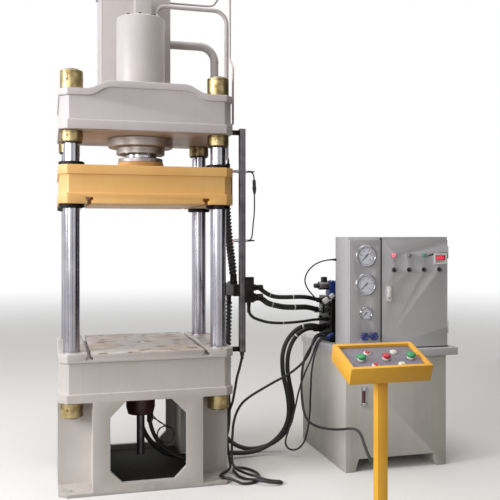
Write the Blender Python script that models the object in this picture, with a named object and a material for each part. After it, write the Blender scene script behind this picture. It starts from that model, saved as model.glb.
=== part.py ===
"""Four-column hydraulic press with its hydraulic power unit and its button pedestal.

Metres, +Z up. The origin is on the press axis at floor level. The operator stands on the -Y side
and +X is to the operator's right, where the power unit is.
"""

import math

import bmesh
import bpy
from mathutils import Matrix, Vector

# Fits shared by the whole machine
GAP = 0.0003  # left between pieces that seat face to face
RUNNING = 0.0004  # radial clearance of what slides or turns
OVERRUN = 0.02  # how far a cutter passes the face that it cuts
LAP = 0.003  # how deep two shapes sink into each other before they become one
SHADE_ANGLE = 35  # degrees, flatter edges than this are shaded smooth
ROUND = 28  # sides of a large round piece
SMALL = 12  # sides of a small one
DIAL_SIDES = 20
FINE = 10  # sides of a button, a thin pipe or a plug

# Columns and body
COLUMN_FROM_SIDE = 0.075  # a column's axis to the body's side
COLUMN_FROM_FRONT = 0.115  # and to its front or rear
COLUMN_DIAMETER = 0.095
COLUMN_STUB = 0.010  # thread left beyond each end nut
STUB_SHRINK = 0.004  # how much thinner in radius the thread is
COLUMN_SIDES = 16
NUT_DIAMETER = 0.130
BASE_NUT_HEIGHT = 0.093
UNDER_CROWN_NUT_HEIGHT = 0.064
TOP_NUT_HEIGHT = 0.113
NUT_CHAMFER = 0.003
BODY_WIDTH = 1.010
BODY_DEPTH = 0.830
BODY_CORNER = 0.048
FACE_RECESS = 0.009

# Table and base
TABLE_HEIGHT = 0.801
TABLE_THICKNESS = 0.276
TABLE_TOP_BAND = 0.050
TABLE_BOTTOM_BAND = 0.050
BOTTOM_PLATE = 0.020
FRAME_WALL = 0.030
NOTCH_WIDTH = 0.189
NOTCH_DEPTH = 0.189
WINDOW_POST = 0.097  # front plate left beside the window
WINDOW_SILL = 0.060
WINDOW_TOP_CHAMFER = 0.090
WINDOW_BOTTOM_CHAMFER = 0.070
HOSE_DOOR_POST = 0.106  # side plate left beside the hose door
HOSE_DOOR_HEIGHT = 0.185
ANCHOR_HOLE = 0.022
ANCHOR_FROM_FRONT = 0.065
SLOT_FROM_COLUMN = 0.095
SLOT_NECK = 0.022
SLOT_HEAD = 0.042
SLOT_NECK_DEPTH = 0.018
SLOT_HEAD_DEPTH = 0.018

# Slide
DAYLIGHT = 0.848  # table to slide at rest
SLIDE_THICKNESS = 0.219
SLIDE_TOP_BAND = 0.053
SLIDE_BOTTOM_BAND = 0.060
BOSS_DIAMETER = 0.285
BOSS_HEIGHT = 0.052
BUSH_DIAMETER = 0.144
BUSH_HEIGHT = 0.020
STRIKER_PLATE = (0.008, 0.060, 0.120)
STRIKER_TOP_GAP = 0.048

# Crown
CROWN_CLEARANCE = 0.200  # slide top to crown underside at rest
CROWN_END_THICKNESS = 0.229
CROWN_RISE = 0.052
CROWN_TOP_BAND = 0.040
CROWN_BOTTOM_BAND = 0.053
CROWN_RAMP = 0.135
CROWN_RAMP_FROM_COLUMN = 0.083
RAMP_STEPS = 4

# Main cylinder, ram and what is on top
CYLINDER_DIAMETER = 0.300
CYLINDER_NECK_DIAMETER = 0.280
CYLINDER_HEIGHT = 0.471  # above the crown
CYLINDER_HEAD = 0.070
CYLINDER_RIM = 0.010
RAM_DIAMETER = 0.200
RAM_LENGTH = 0.780
RAM_FLANGE_DIAMETER = 0.276
RAM_FLANGE_HEIGHT = 0.025
RING_NUT_DIAMETER = 0.400
RING_NUT_HEIGHT = 0.055
RING_NUT_NOTCHES = 6
RING_NUT_NOTCH = (0.024, 0.026)
GLAND_DIAMETER = 0.300
GLAND_HEIGHT = 0.042
VALVE_WIDTH = 0.104
VALVE_HEIGHT = 0.180
VALVE_FLANGE_DIAMETER = 0.130
VALVE_FLANGE_HEIGHT = 0.014
VALVE_NECK_DIAMETER = 0.080
VALVE_NECK_RISE = 0.110
VALVE_OFFSET_X = 0.012
TANK_WIDTH = 0.444
TANK_DEPTH = 0.400
TANK_HEIGHT = 0.740
TANK_CENTRE_X = -0.008
TANK_FRONT_GAP = 0.020  # between the cylinder and the tank
TANK_LID_LIP = 0.012
TANK_LID_HEIGHT = 0.014
BREATHER_DIAMETER = 0.050
BREATHER_HEIGHT = 0.045

# Pipes on the press
RETURN_PIPE_DIAMETER = 0.055
RETURN_PIPE_FROM_BODY = 0.0035
RETURN_PIPE_FROM_COLUMN = 0.010  # how far it lies inwards of the rear columns
RETURN_PIPE_RISE = 0.401  # above the crown
RETURN_PIPE_DROP = 0.105  # below the table block
RETURN_PIPE_BEND = 0.100
PRESSURE_PIPE_DIAMETER = 0.027
PRESSURE_PIPE_FROM_BODY = 0.0345
PRESSURE_PIPE_RISE = 0.095  # above the cylinder
PRESSURE_PIPE_DROP = 0.138  # below the crown
PRESSURE_PIPE_BEND = 0.085
PRESSURE_PORT_X = 0.100
LEAK_PIPE_DIAMETER = 0.014
LEAK_PIPE_FROM_BODY = 0.013
LEAK_PIPE_FROM_TANK_TOP = 0.059
LEAK_PORT_RISE = 0.069  # above the crown's underside
LEAK_PIPE_STEP_RISE = 0.141  # above the crown, where it reaches the front columns
LEAK_PIPE_STEP_HEIGHT = 0.070
LEAK_PIPE_BEND = 0.045
LEAK_PIPE_FROM_COLUMN = 0.010  # how far its end lies inwards of the front columns
LEAK_PIPE_STEP = 0.080
UNION_SHARE = 1.45  # a union's or flange's diameter as a share of its pipe's
UNION_HEIGHT = 0.040
PIPE_SIDES = 10
BEND_STEPS = 4

# Ejector under the table
EJECTOR_DIAMETER = 0.180
EJECTOR_FLANGE_DIAMETER = 0.216
EJECTOR_FLANGE_HEIGHT = 0.024
EJECTOR_HEIGHT = 0.167
EJECTOR_CONE = 0.040
EJECTOR_FOOT_DIAMETER = 0.158
EJECTOR_ROD_DIAMETER = 0.050
EJECTOR_ROD_TOP_GAP = 0.006
EJECTOR_ROD_END = 0.100

# Switch post with its sensors and its hose bulkhead
POST_FROM_BODY = 0.057
POST_WIDTH = 0.036
POST_WALL = 0.004
POST_BELOW_TABLE = 0.041
POST_ABOVE_CROWN = 0.048  # above the crown's underside
BRACKET = (0.008, 0.030)
SENSOR_DIAMETER = 0.018
SENSOR_LENGTH = 0.090
UPPER_SENSOR_DROP = 0.011  # below the slide's top at rest
SENSOR_PITCH = 0.420
SENSOR_NUT_DIAMETER = 0.027
SENSOR_NUT = 0.006
BULKHEAD_RISE = 0.259  # above the table
BULKHEAD_HEIGHT = 0.155
BULKHEAD_BLOCK = (0.050, 0.056)
BULKHEAD_BAR_RISE = 0.040
BULKHEAD_BAR_HEIGHT = 0.070
BULKHEAD_BAR_FROM_BODY = 0.017
BULKHEAD_BAR_REACH = 0.220

# Power unit: oil tank
UNIT_LEFT = 1.213
UNIT_WIDTH = 0.692
UNIT_FRONT = -0.400
UNIT_DEPTH = 0.800
UNIT_HEIGHT = 0.705
FOOT_WIDTH_BOTTOM = 0.067
FOOT_WIDTH_TOP = 0.090
FOOT_HEIGHT = 0.078
LID_HEIGHT = 0.047
LID_LIP_LEFT = 0.008
LID_LIP_RIGHT = 0.069
LID_LIP_FRONT = 0.030
LID_LIP_BACK = 0.010
LEVEL_GAUGE = (0.030, 0.014, 0.118)
LEVEL_GAUGE_FROM_LEFT = 0.121
LEVEL_GAUGE_BOTTOM = 0.408

# Power unit: control cabinet
CABINET_FROM_TANK_LEFT = 0.032
CABINET_FROM_TANK_FRONT = 0.015
CABINET_WIDTH = 0.686
CABINET_DEPTH = 0.232
CABINET_HEIGHT = 0.706
SHEET = 0.004
PANEL_WIDTH = 0.217
PANEL_PROUD = 0.004
DOOR_SLOT = 0.003
DOOR_MARGIN = (0.007, 0.018)  # below and above the door
DOOR_THICKNESS = 0.018
DOOR_SHEET = 0.004
DOOR_SEAT = 0.0006
HINGE_OFFSET = 0.0035
HINGE_DIAMETER = 0.006
HINGE_LENGTH = 0.040
HINGE_INSET = 0.080
EQUIPMENT_PLATE = (0.360, 0.540)
EQUIPMENT_PLATE_THICKNESS = 0.006
CONTACTOR = (0.045, 0.060, 0.080)
CONTACTOR_PITCH = 0.060
CONTACTORS = 5
TERMINALS = (0.300, 0.035, 0.040)
DRIVE = (0.140, 0.080, 0.150)

# Gauges, knobs and selectors; places are (across from the cabinet's left, up from its bottom)
GAUGE_PLACES = {
    "contact_gauge": ((0.110, 0.587), 0.068),
    "system_gauge": ((0.108, 0.409), 0.068),
    "pilot_gauge": ((0.108, 0.230), 0.041),
}
GAUGE_CASE_SHARE = 0.78
GAUGE_CASE_DEPTH = 0.030
GAUGE_BEZEL_HEIGHT = 0.018
GAUGE_WINDOW_SHARE = 0.82
GAUGE_DIAL_DEPTH = 0.010  # dial below the bezel's rim
GAUGE_ARBOR_SHARE = 0.09
GAUGE_ARBOR_HEIGHT = 0.0017
POINTER_THICKNESS = 0.0016
POINTER_REACH_SHARE = 0.66
POINTER_TAIL_SHARE = 0.26
POINTER_HUB_SHARE = 0.085
POINTER_TIP = 0.0012
POINTER_ROOT = 0.005
POINTER_REST = 135  # degrees from straight up, anticlockwise as the operator sees it
KNOB_PLACES = {
    "gauge_knob_left": (0.094, 0.087),
    "gauge_knob_right": (0.155, 0.087),
}
KNOB_DIAMETER = 0.054
KNOB_HEIGHT = 0.022
KNOB_LOBES = 6
KNOB_LOBE_SHARE = 0.07
KNOB_STEM_DIAMETER = 0.012
KNOB_STAND_OFF = 0.014
SELECTOR_SHARES = {  # across and up the door
    "selector_1": (0.180631, 0.7209985),
    "selector_2": (0.406964, 0.7209985),
    "selector_3": (0.6311208, 0.7209985),
    "selector_4": (0.868335, 0.7209985),
}
LAMP_SHARES = ((0.171926, 0.856094), (0.406964, 0.853157), (0.628945, 0.853157))
LAMP_DIAMETER = 0.026
LAMP_HEIGHT = 0.014
BEZEL_DIAMETER = 0.029
BEZEL_HEIGHT = 0.006
SELECTOR_DIAMETER = 0.022
SELECTOR_STEM_DEPTH = 0.012
SELECTOR_FACE = 0.008
SELECTOR_GRIP = (0.007, 0.021, 0.012)
DISPLAY_SHARES = (0.885745, 0.819383)
DISPLAY_SIZE = (0.092, 0.070)
DISPLAY_HEIGHT = 0.006
DISPLAY_FRAME = 0.012
DISPLAY_RECESS = 0.003
LOCK_SHARES = (0.097933, 0.502203)
LOCK_PLATE = (0.038, 0.096)
LOCK_HEIGHT = 0.008
LOCK_LEVER = (0.018, 0.060)
LOCK_LEVER_HEIGHT = 0.008
LOCK_STEM_DIAMETER = 0.010
LOCK_PIVOT_DROP = 0.026  # pivot below the plate's middle

# Power unit: what stands on the lid behind the cabinet
MANIFOLD_FROM_TANK = (0.057, 0.380)  # from the tank's left and front
MANIFOLD_SIZE = (0.092, 0.240)
MANIFOLD_HEIGHT = 0.300
VALVE_BODY = (0.090, 0.080, 0.125)
VALVE_BODY_FROM = (0.012, 0.030)
SOLENOID_DIAMETER = 0.056
SOLENOID_LENGTH = 0.080
SOLENOID_CAP_DIAMETER = 0.032
SOLENOID_CAP_LENGTH = 0.034
SOLENOID_PLUG = (0.036, 0.032, 0.034)
MOTOR_FROM_TANK = (0.427, 0.530)
MOTOR_DIAMETER = 0.220
MOTOR_FIN = 0.010
MOTOR_FINS = 12
MOTOR_BODY = 0.200
BELL_DIAMETER = 0.200
BELL_FLANGE_DIAMETER = 0.260
BELL_FLANGE_HEIGHT = 0.016
BELL_HEIGHT = 0.120
COWL_DIAMETER = 0.236
COWL_HEIGHT = 0.070
TERMINAL_BOX = (0.100, 0.060, 0.110)

# Pedestal: the tray tilts about its front top edge
STAND_FROM_TRAY_LEFT = 0.191
STAND_FROM_TRAY_FRONT = 0.1125
TRAY_EDGE_HEIGHT = 0.8785
TRAY_TILT = 19.2
TRAY_WIDTH = 0.402
TRAY_LENGTH = 0.2388
TRAY_THICKNESS = 0.080
TRAY_RIM = 0.020
TRAY_RECESS = 0.013
BUTTON_PLATE = 0.003
STAND_X = 0.925
STAND_Y = -1.526
STAND_TUBE = 0.050
STAND_PLATE = 0.300
STAND_PLATE_THICKNESS = 0.010
STAND_GUSSET = (0.006, 0.080)
STAND_GLAND_DIAMETER = 0.026
STAND_GLAND_LENGTH = 0.020
STAND_GLAND_HEIGHT = 0.390
BUTTON_BORE_DIAMETER = 0.024
BUTTON_HOUSING_DIAMETER = 0.026
BUTTON_HOUSING_DEPTH = 0.030
BUTTON_STEM_DEPTH = 0.014
BUTTON_PROUD = 0.011
PALM_DIAMETER = 0.044
PALM_STEM = 0.014
PALM_HEIGHT = 0.012
STOP_DIAMETER = 0.040
BUTTON_PLACES = {
    "palm_button_left": ((0.088, 0.100), "palm"),
    "emergency_stop": ((0.212, 0.100), "stop"),
    "palm_button_right": ((0.336, 0.100), "palm"),
    "rear_button_left": ((0.142, 0.157), "flush"),
    "rear_button_right": ((0.276, 0.157), "flush"),
    "front_button_left": ((0.136, 0.042), "flush"),
    "front_button_right": ((0.266, 0.042), "flush"),
}

# Heights and faces worked out from the sizes above
TABLE_UNDERSIDE = TABLE_HEIGHT - TABLE_THICKNESS
SLIDE_UNDERSIDE = TABLE_HEIGHT + DAYLIGHT
SLIDE_TOP = SLIDE_UNDERSIDE + SLIDE_THICKNESS
BOSS_TOP = SLIDE_TOP + BOSS_HEIGHT
CROWN_UNDERSIDE = SLIDE_TOP + CROWN_CLEARANCE
CROWN_SHOULDER = CROWN_UNDERSIDE + CROWN_END_THICKNESS
CROWN_TOP = CROWN_SHOULDER + CROWN_RISE
CYLINDER_TOP = CROWN_TOP + GAP + CYLINDER_HEIGHT
BODY_RIGHT = BODY_WIDTH / 2
COLUMN_PITCH_X = BODY_WIDTH - 2 * COLUMN_FROM_SIDE
COLUMN_PITCH_Y = BODY_DEPTH - 2 * COLUMN_FROM_FRONT
FRONT_PLATE_WIDTH = BODY_WIDTH - 2 * NOTCH_WIDTH
WINDOW_WIDTH = FRONT_PLATE_WIDTH - 2 * WINDOW_POST
HOSE_DOOR_WIDTH = BODY_DEPTH - 2 * (NOTCH_DEPTH + HOSE_DOOR_POST)
ANCHOR_PITCH_Y = BODY_DEPTH - 2 * ANCHOR_FROM_FRONT
SLOT_PITCH = COLUMN_PITCH_X - 2 * SLOT_FROM_COLUMN
CROWN_FLAT = COLUMN_PITCH_X - 2 * (CROWN_RAMP + CROWN_RAMP_FROM_COLUMN)
RETURN_PIPE_X = BODY_RIGHT + RETURN_PIPE_FROM_BODY + RETURN_PIPE_DIAMETER / 2
RETURN_PIPE_Y = COLUMN_PITCH_Y / 2 - RETURN_PIPE_FROM_COLUMN
RETURN_PIPE_TOP = CROWN_TOP + RETURN_PIPE_RISE
RETURN_PIPE_END = TABLE_UNDERSIDE - RETURN_PIPE_DROP
PRESSURE_PIPE_X = BODY_RIGHT + PRESSURE_PIPE_FROM_BODY + PRESSURE_PIPE_DIAMETER / 2
PRESSURE_PIPE_TOP = CROWN_TOP + CYLINDER_HEIGHT + PRESSURE_PIPE_RISE
PRESSURE_PIPE_END = CROWN_UNDERSIDE - PRESSURE_PIPE_DROP
LEAK_PIPE_X = BODY_RIGHT + LEAK_PIPE_FROM_BODY + LEAK_PIPE_DIAMETER / 2
LEAK_PIPE_TOP = CROWN_TOP + TANK_HEIGHT - LEAK_PIPE_FROM_TANK_TOP
LEAK_PIPE_END = CROWN_UNDERSIDE + LEAK_PORT_RISE
LEAK_PIPE_AHEAD = LEAK_PIPE_FROM_COLUMN - COLUMN_PITCH_Y / 2
LEAK_PIPE_STEP_LOW = CROWN_TOP + LEAK_PIPE_STEP_RISE
POST_X = BODY_RIGHT + POST_FROM_BODY + POST_WIDTH / 2
POST_Y = -COLUMN_PITCH_Y / 2
POST_BOTTOM = TABLE_HEIGHT - POST_BELOW_TABLE
POST_TOP = CROWN_UNDERSIDE + POST_ABOVE_CROWN
UPPER_SENSOR_HEIGHT = SLIDE_TOP - UPPER_SENSOR_DROP
BULKHEAD_LOW = TABLE_HEIGHT + BULKHEAD_RISE
BULKHEAD_BAR_LOW = BULKHEAD_LOW + BULKHEAD_BAR_RISE
CABINET_LEFT = UNIT_LEFT + CABINET_FROM_TANK_LEFT
CABINET_RIGHT = CABINET_LEFT + CABINET_WIDTH
CABINET_FRONT = UNIT_FRONT + CABINET_FROM_TANK_FRONT
MANIFOLD_LOW = (UNIT_LEFT + MANIFOLD_FROM_TANK[0], UNIT_FRONT + MANIFOLD_FROM_TANK[1])
MANIFOLD_HIGH = (MANIFOLD_LOW[0] + MANIFOLD_SIZE[0], MANIFOLD_LOW[1] + MANIFOLD_SIZE[1])
MOTOR_X = UNIT_LEFT + MOTOR_FROM_TANK[0]
MOTOR_Y = UNIT_FRONT + MOTOR_FROM_TANK[1]
TRAY_LEFT = STAND_X - STAND_FROM_TRAY_LEFT
TRAY_FRONT = STAND_Y - STAND_FROM_TRAY_FRONT
LID_TOP = UNIT_HEIGHT + GAP + LID_HEIGHT
CABINET_BOTTOM = LID_TOP + GAP
CABINET_TOP = CABINET_BOTTOM + CABINET_HEIGHT
DOOR_LEFT = CABINET_LEFT + PANEL_WIDTH + DOOR_SLOT
DOOR_RIGHT = CABINET_RIGHT - HINGE_DIAMETER / 2 - HINGE_OFFSET
DOOR_BOTTOM = CABINET_BOTTOM + DOOR_MARGIN[0]
DOOR_TOP = CABINET_TOP - DOOR_MARGIN[1]
HINGE_X = DOOR_RIGHT + HINGE_OFFSET
CORNERS = ((-1, -1, "front_left"), (1, -1, "front_right"), (-1, 1, "rear_left"), (1, 1, "rear_right"))


def clear_scene():
    for thing in list(bpy.data.objects):
        bpy.data.objects.remove(thing)


def linear(channel):
    """One sRGB channel, 0 to 255, as linear light."""
    share = channel / 255
    return share / 12.92 if share <= 0.04045 else ((share + 0.055) / 1.055) ** 2.4


def finish(name, code, roughness, metallic=0.0):
    """A Principled material from an sRGB hex code."""
    look = bpy.data.materials.new(name)
    look.use_nodes = True
    shader = look.node_tree.nodes["Principled BSDF"]
    red, green, blue = (linear(int(code[i : i + 2], 16)) for i in (1, 3, 5))
    shader.inputs["Base Color"].default_value = (red, green, blue, 1.0)
    shader.inputs["Roughness"].default_value = roughness
    shader.inputs["Metallic"].default_value = metallic
    look.diffuse_color = (red, green, blue, 1.0)
    return look


def empty(name, at, turn=0.0):
    """An empty that carries what is placed in its own axes, tilted about X by turn degrees."""
    carrier = bpy.data.objects.new(name, None)
    carrier.location = at
    carrier.rotation_euler = (math.radians(turn), 0, 0)
    bpy.context.scene.collection.objects.link(carrier)
    return carrier


def place(name, shape, look, at=(0, 0, 0), carrier=None):
    """Makes the shape a named object whose origin is at the given place."""
    bmesh.ops.recalc_face_normals(shape, faces=shape.faces)
    mesh = bpy.data.meshes.new(name)
    shape.to_mesh(mesh)
    shape.free()
    mesh.materials.append(look)
    mesh.shade_smooth()
    mesh.set_sharp_from_angle(angle=math.radians(SHADE_ANGLE))
    piece = bpy.data.objects.new(name, mesh)
    piece.location = at
    piece.parent = carrier
    bpy.context.scene.collection.objects.link(piece)
    return piece


def combine(piece, shape, operation):
    """Adds a live Boolean of the piece with a hidden helper, both in the piece's own axes."""
    count = len(piece.modifiers) + 1
    bmesh.ops.recalc_face_normals(shape, faces=shape.faces)
    mesh = bpy.data.meshes.new(f"{piece.name}_helper_{count}")
    shape.to_mesh(mesh)
    shape.free()
    helper = bpy.data.objects.new(mesh.name, mesh)
    helper.parent = piece
    helper.hide_render = True
    helper.display_type = "WIRE"
    bpy.context.scene.collection.objects.link(helper)
    step = piece.modifiers.new(f"{operation.lower()} {count}", "BOOLEAN")
    step.operation = operation
    step.solver = "EXACT"
    step.object = helper
    return helper


def cut(piece, shape):
    return combine(piece, shape, "DIFFERENCE")


def join(piece, shape):
    return combine(piece, shape, "UNION")


def moved(shape, by):
    bmesh.ops.translate(shape, vec=by, verts=shape.verts)
    return shape


def facing(shape, direction):
    """Turns a shape made along +Z so that it points along the direction."""
    turn = Vector((0, 0, 1)).rotation_difference(Vector(direction)).to_matrix()
    bmesh.ops.rotate(shape, matrix=turn, verts=shape.verts)
    return shape


def prism(outline, low, high):
    """An outline of (x, y) points, extruded from low to high."""
    shape = bmesh.new()
    floor = shape.faces.new([shape.verts.new((x, y, low)) for x, y in outline])
    raised = bmesh.ops.extrude_face_region(shape, geom=[floor])["geom"]
    bmesh.ops.translate(
        shape, vec=(0, 0, high - low), verts=[v for v in raised if isinstance(v, bmesh.types.BMVert)]
    )
    return shape


def front_prism(outline, front, back):
    """An outline of (x, z) points as the operator sees it, extruded from the front back."""
    shape = prism([(x, -z) for x, z in outline], front, back)
    bmesh.ops.rotate(shape, matrix=Matrix.Rotation(math.radians(-90), 3, "X"), verts=shape.verts)
    return shape


def rectangle(low, high):
    return [(low[0], low[1]), (high[0], low[1]), (high[0], high[1]), (low[0], high[1])]


def box(low, high):
    return prism(rectangle(low, high), low[2], high[2])


def block(size, foot):
    """A box of the given size whose underside is centred on the foot."""
    x, y, z = foot
    return box((x - size[0] / 2, y - size[1] / 2, z), (x + size[0] / 2, y + size[1] / 2, z + size[2]))


def turned(profile, sides=ROUND):
    """A profile of (radius, z) points, spun about Z. It is a ring unless its ends are on the axis."""
    shape = bmesh.new()
    points = [shape.verts.new((radius, 0, z)) for radius, z in profile]
    edges = [shape.edges.new(pair) for pair in zip(points, points[1:])]
    if profile[0][0] and profile[-1][0]:
        edges.append(shape.edges.new((points[-1], points[0])))
    bmesh.ops.spin(
        shape, geom=points + edges, axis=(0, 0, 1), cent=(0, 0, 0), angle=math.tau, steps=sides, use_merge=True
    )
    bmesh.ops.remove_doubles(shape, verts=shape.verts, dist=GAP / 100)
    bmesh.ops.dissolve_degenerate(shape, edges=shape.edges, dist=GAP / 100)
    return shape


def rod(diameter, low, high, sides=ROUND):
    radius = diameter / 2
    return turned([(0, low), (radius, low), (radius, high), (0, high)], sides)


def collar(diameter, low, high, sides):
    """A rod turned by half a side, for a bore that goes through its middle."""
    shape = rod(diameter, low, high, sides)
    bmesh.ops.rotate(shape, matrix=Matrix.Rotation(math.pi / sides, 3, "Z"), verts=shape.verts)
    return shape


def ring(outer, inner, low, high, sides=ROUND):
    return turned([(inner / 2, low), (outer / 2, low), (outer / 2, high), (inner / 2, high)], sides)


def layered(levels, roofs=None):
    """Levels of matching points, bridged in turn and closed below and above."""
    shape = bmesh.new()
    rings = [[shape.verts.new(point) for point in level] for level in levels]
    count = len(rings[0])
    for low, high in zip(rings, rings[1:]):
        for i in range(count):
            j = (i + 1) % count
            shape.faces.new((low[i], low[j], high[j], high[i]))
    shape.faces.new(list(reversed(rings[0])))
    for corners in roofs or [range(count)]:
        shape.faces.new([rings[-1][i] for i in corners])
    return shape


def rounded_route(corners, bend):
    """Straight runs between the corners, with an arc of the bend radius at each inner one."""
    route = [Vector(corners[0])]
    for before, corner, after in zip(corners, corners[1:], corners[2:]):
        corner = Vector(corner)
        back = (Vector(before) - corner).normalized()
        ahead = (Vector(after) - corner).normalized()
        half = back.angle(ahead) / 2
        centre = corner + (back + ahead).normalized() * (bend / math.sin(half))
        start = corner + back * (bend / math.tan(half)) - centre
        axis = back.cross(ahead)
        sweep = math.pi - 2 * half
        for i in range(BEND_STEPS + 1):
            route.append(centre + Matrix.Rotation(-sweep * i / BEND_STEPS, 3, axis) @ start)
    return route + [Vector(corners[-1])]


def swept(route, diameter, sides=PIPE_SIDES):
    """A round bar along the route, its rings turned with the path, closed at both ends."""
    shape = bmesh.new()
    across = None
    rings = []
    for i, point in enumerate(route):
        before = route[max(i - 1, 0)]
        after = route[min(i + 1, len(route) - 1)]
        along = (after - before).normalized()
        guide = across if across is not None else along.orthogonal()
        across = (guide - along * guide.dot(along)).normalized()
        up = along.cross(across)
        rings.append(
            [
                shape.verts.new(
                    point + (across * math.cos(turn) + up * math.sin(turn)) * diameter / 2
                )
                for turn in (math.tau * side / sides for side in range(sides))
            ]
        )
    for low, high in zip(rings, rings[1:]):
        for i in range(sides):
            j = (i + 1) % sides
            shape.faces.new((low[i], low[j], high[j], high[i]))
    shape.faces.new(list(reversed(rings[0])))
    shape.faces.new(rings[-1])
    return shape


def body_outline(inset, stations=()):
    """The press body's plan, drawn in by the inset: front edge, right side, rear edge, left side."""
    wide = BODY_WIDTH / 2 - inset
    deep = BODY_DEPTH / 2 - inset
    across = [-wide + BODY_CORNER, *stations, wide - BODY_CORNER]
    front = [(x, -deep) for x in across]
    right = [(wide, -deep + BODY_CORNER), (wide, deep - BODY_CORNER)]
    rear = [(x, deep) for x in reversed(across)]
    left = [(-wide, deep - BODY_CORNER), (-wide, -deep + BODY_CORNER)]
    return front + right + rear + left


def beam(bottom, top_at, bottom_band, top_band, stations=()):
    """A welded beam on the body's plan: its faces lie back between a bottom and a top band."""

    def level(inset, height_at):
        return [(x, y, height_at(x)) for x, y in body_outline(inset, stations)]

    def under_band(x):
        return top_at(x) - top_band

    def foot(x):
        return bottom

    def over_band(x):
        return bottom + bottom_band

    levels = [
        level(0, foot),
        level(0, over_band),
        level(FACE_RECESS, over_band),
        level(FACE_RECESS, under_band),
        level(0, under_band),
        level(0, top_at),
    ]
    count = len(stations) + 2
    opposite = 2 * count + 1
    roofs = [(i, i + 1, opposite - i - 1, opposite - i) for i in range(count - 1)]
    right_end = (count - 1, count, count + 1, count + 2)
    left_end = (opposite, opposite + 1, opposite + 2, 0)
    return layered(levels, [*roofs, right_end, left_end])


def at_columns(shape_of):
    """One shape for each column, at its place."""
    for across, back, _ in CORNERS:
        yield moved(shape_of(), (across * COLUMN_PITCH_X / 2, back * COLUMN_PITCH_Y / 2, 0))


def t_slots(mouth, inwards):
    """Two T-slots from front to back; inwards is +1 where they are cut upwards and -1 downwards."""
    neck = mouth + inwards * SLOT_NECK_DEPTH
    floor = neck + inwards * SLOT_HEAD_DEPTH
    outside = mouth - inwards * OVERRUN
    for side in (-1, 1):
        middle = side * SLOT_PITCH / 2
        outline = [
            (middle + SLOT_NECK / 2, outside),
            (middle + SLOT_NECK / 2, neck),
            (middle + SLOT_HEAD / 2, neck),
            (middle + SLOT_HEAD / 2, floor),
            (middle - SLOT_HEAD / 2, floor),
            (middle - SLOT_HEAD / 2, neck),
            (middle - SLOT_NECK / 2, neck),
            (middle - SLOT_NECK / 2, outside),
        ]
        reach = BODY_DEPTH / 2 + OVERRUN
        yield front_prism(outline, -reach, reach)


def make_base(look):
    """The table block, with the windowed frame and the bottom plate that carry it."""

    def top_at(x):
        return TABLE_HEIGHT

    base = place("base_frame", beam(TABLE_UNDERSIDE, top_at, TABLE_BOTTOM_BAND, TABLE_TOP_BAND), look)
    through = (TABLE_UNDERSIDE - OVERRUN, TABLE_HEIGHT + OVERRUN)
    for bore in at_columns(lambda: rod(COLUMN_DIAMETER + 2 * GAP, *through)):
        cut(base, bore)
    cut(base, rod(EJECTOR_ROD_DIAMETER + 2 * RUNNING, *through, sides=COLUMN_SIDES))
    for slot in t_slots(TABLE_HEIGHT, -1):
        cut(base, slot)

    def cross(inset):
        wide = BODY_WIDTH / 2 - inset
        deep = BODY_DEPTH / 2 - inset
        narrow = FRONT_PLATE_WIDTH / 2 - inset
        side = BODY_DEPTH / 2 - NOTCH_DEPTH - inset
        quarter = [(narrow, -deep), (narrow, -side), (wide, -side)]
        right = quarter + [(x, -y) for x, y in reversed(quarter)]
        return right + [(-x, -y) for x, y in right]

    frame = join(base, prism(cross(0), BOTTOM_PLATE - LAP, TABLE_UNDERSIDE + LAP))
    cut(frame, prism(cross(FRAME_WALL), BOTTOM_PLATE - LAP - OVERRUN, TABLE_UNDERSIDE + LAP + OVERRUN))
    half = WINDOW_WIDTH / 2
    lintel = TABLE_UNDERSIDE + LAP + OVERRUN
    shoulder = TABLE_UNDERSIDE - WINDOW_TOP_CHAMFER
    right = [
        (half - WINDOW_BOTTOM_CHAMFER, WINDOW_SILL),
        (half, WINDOW_SILL + WINDOW_BOTTOM_CHAMFER),
        (half, shoulder),
        (half - WINDOW_TOP_CHAMFER, TABLE_UNDERSIDE),
        (half - WINDOW_TOP_CHAMFER, lintel),
    ]
    window = right + [(-x, z) for x, z in reversed(right)]
    reach = BODY_DEPTH / 2 + OVERRUN
    cut(frame, front_prism(window, -reach, reach))
    cut(
        frame,
        box(
            (BODY_RIGHT - FRAME_WALL - OVERRUN, -HOSE_DOOR_WIDTH / 2, BOTTOM_PLATE - LAP - OVERRUN),
            (BODY_RIGHT + OVERRUN, HOSE_DOOR_WIDTH / 2, HOSE_DOOR_HEIGHT),
        ),
    )
    plate = join(base, prism(body_outline(0), 0, BOTTOM_PLATE))
    for side in (-1, 1):
        for end in (-1, 1):
            hole = rod(ANCHOR_HOLE, -OVERRUN, BOTTOM_PLATE + OVERRUN, FINE)
            cut(plate, moved(hole, (side * COLUMN_PITCH_X / 2, end * ANCHOR_PITCH_Y / 2, 0)))
    return base


def nut_profile(outer, inner):
    """A nut from its seat (inner) to its free end (outer), which is chamfered."""
    away = math.copysign(1, outer - inner)
    radius = NUT_DIAMETER / 2
    return [(radius, inner), (radius, outer - away * NUT_CHAMFER), (radius - NUT_CHAMFER, outer)]


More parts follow.
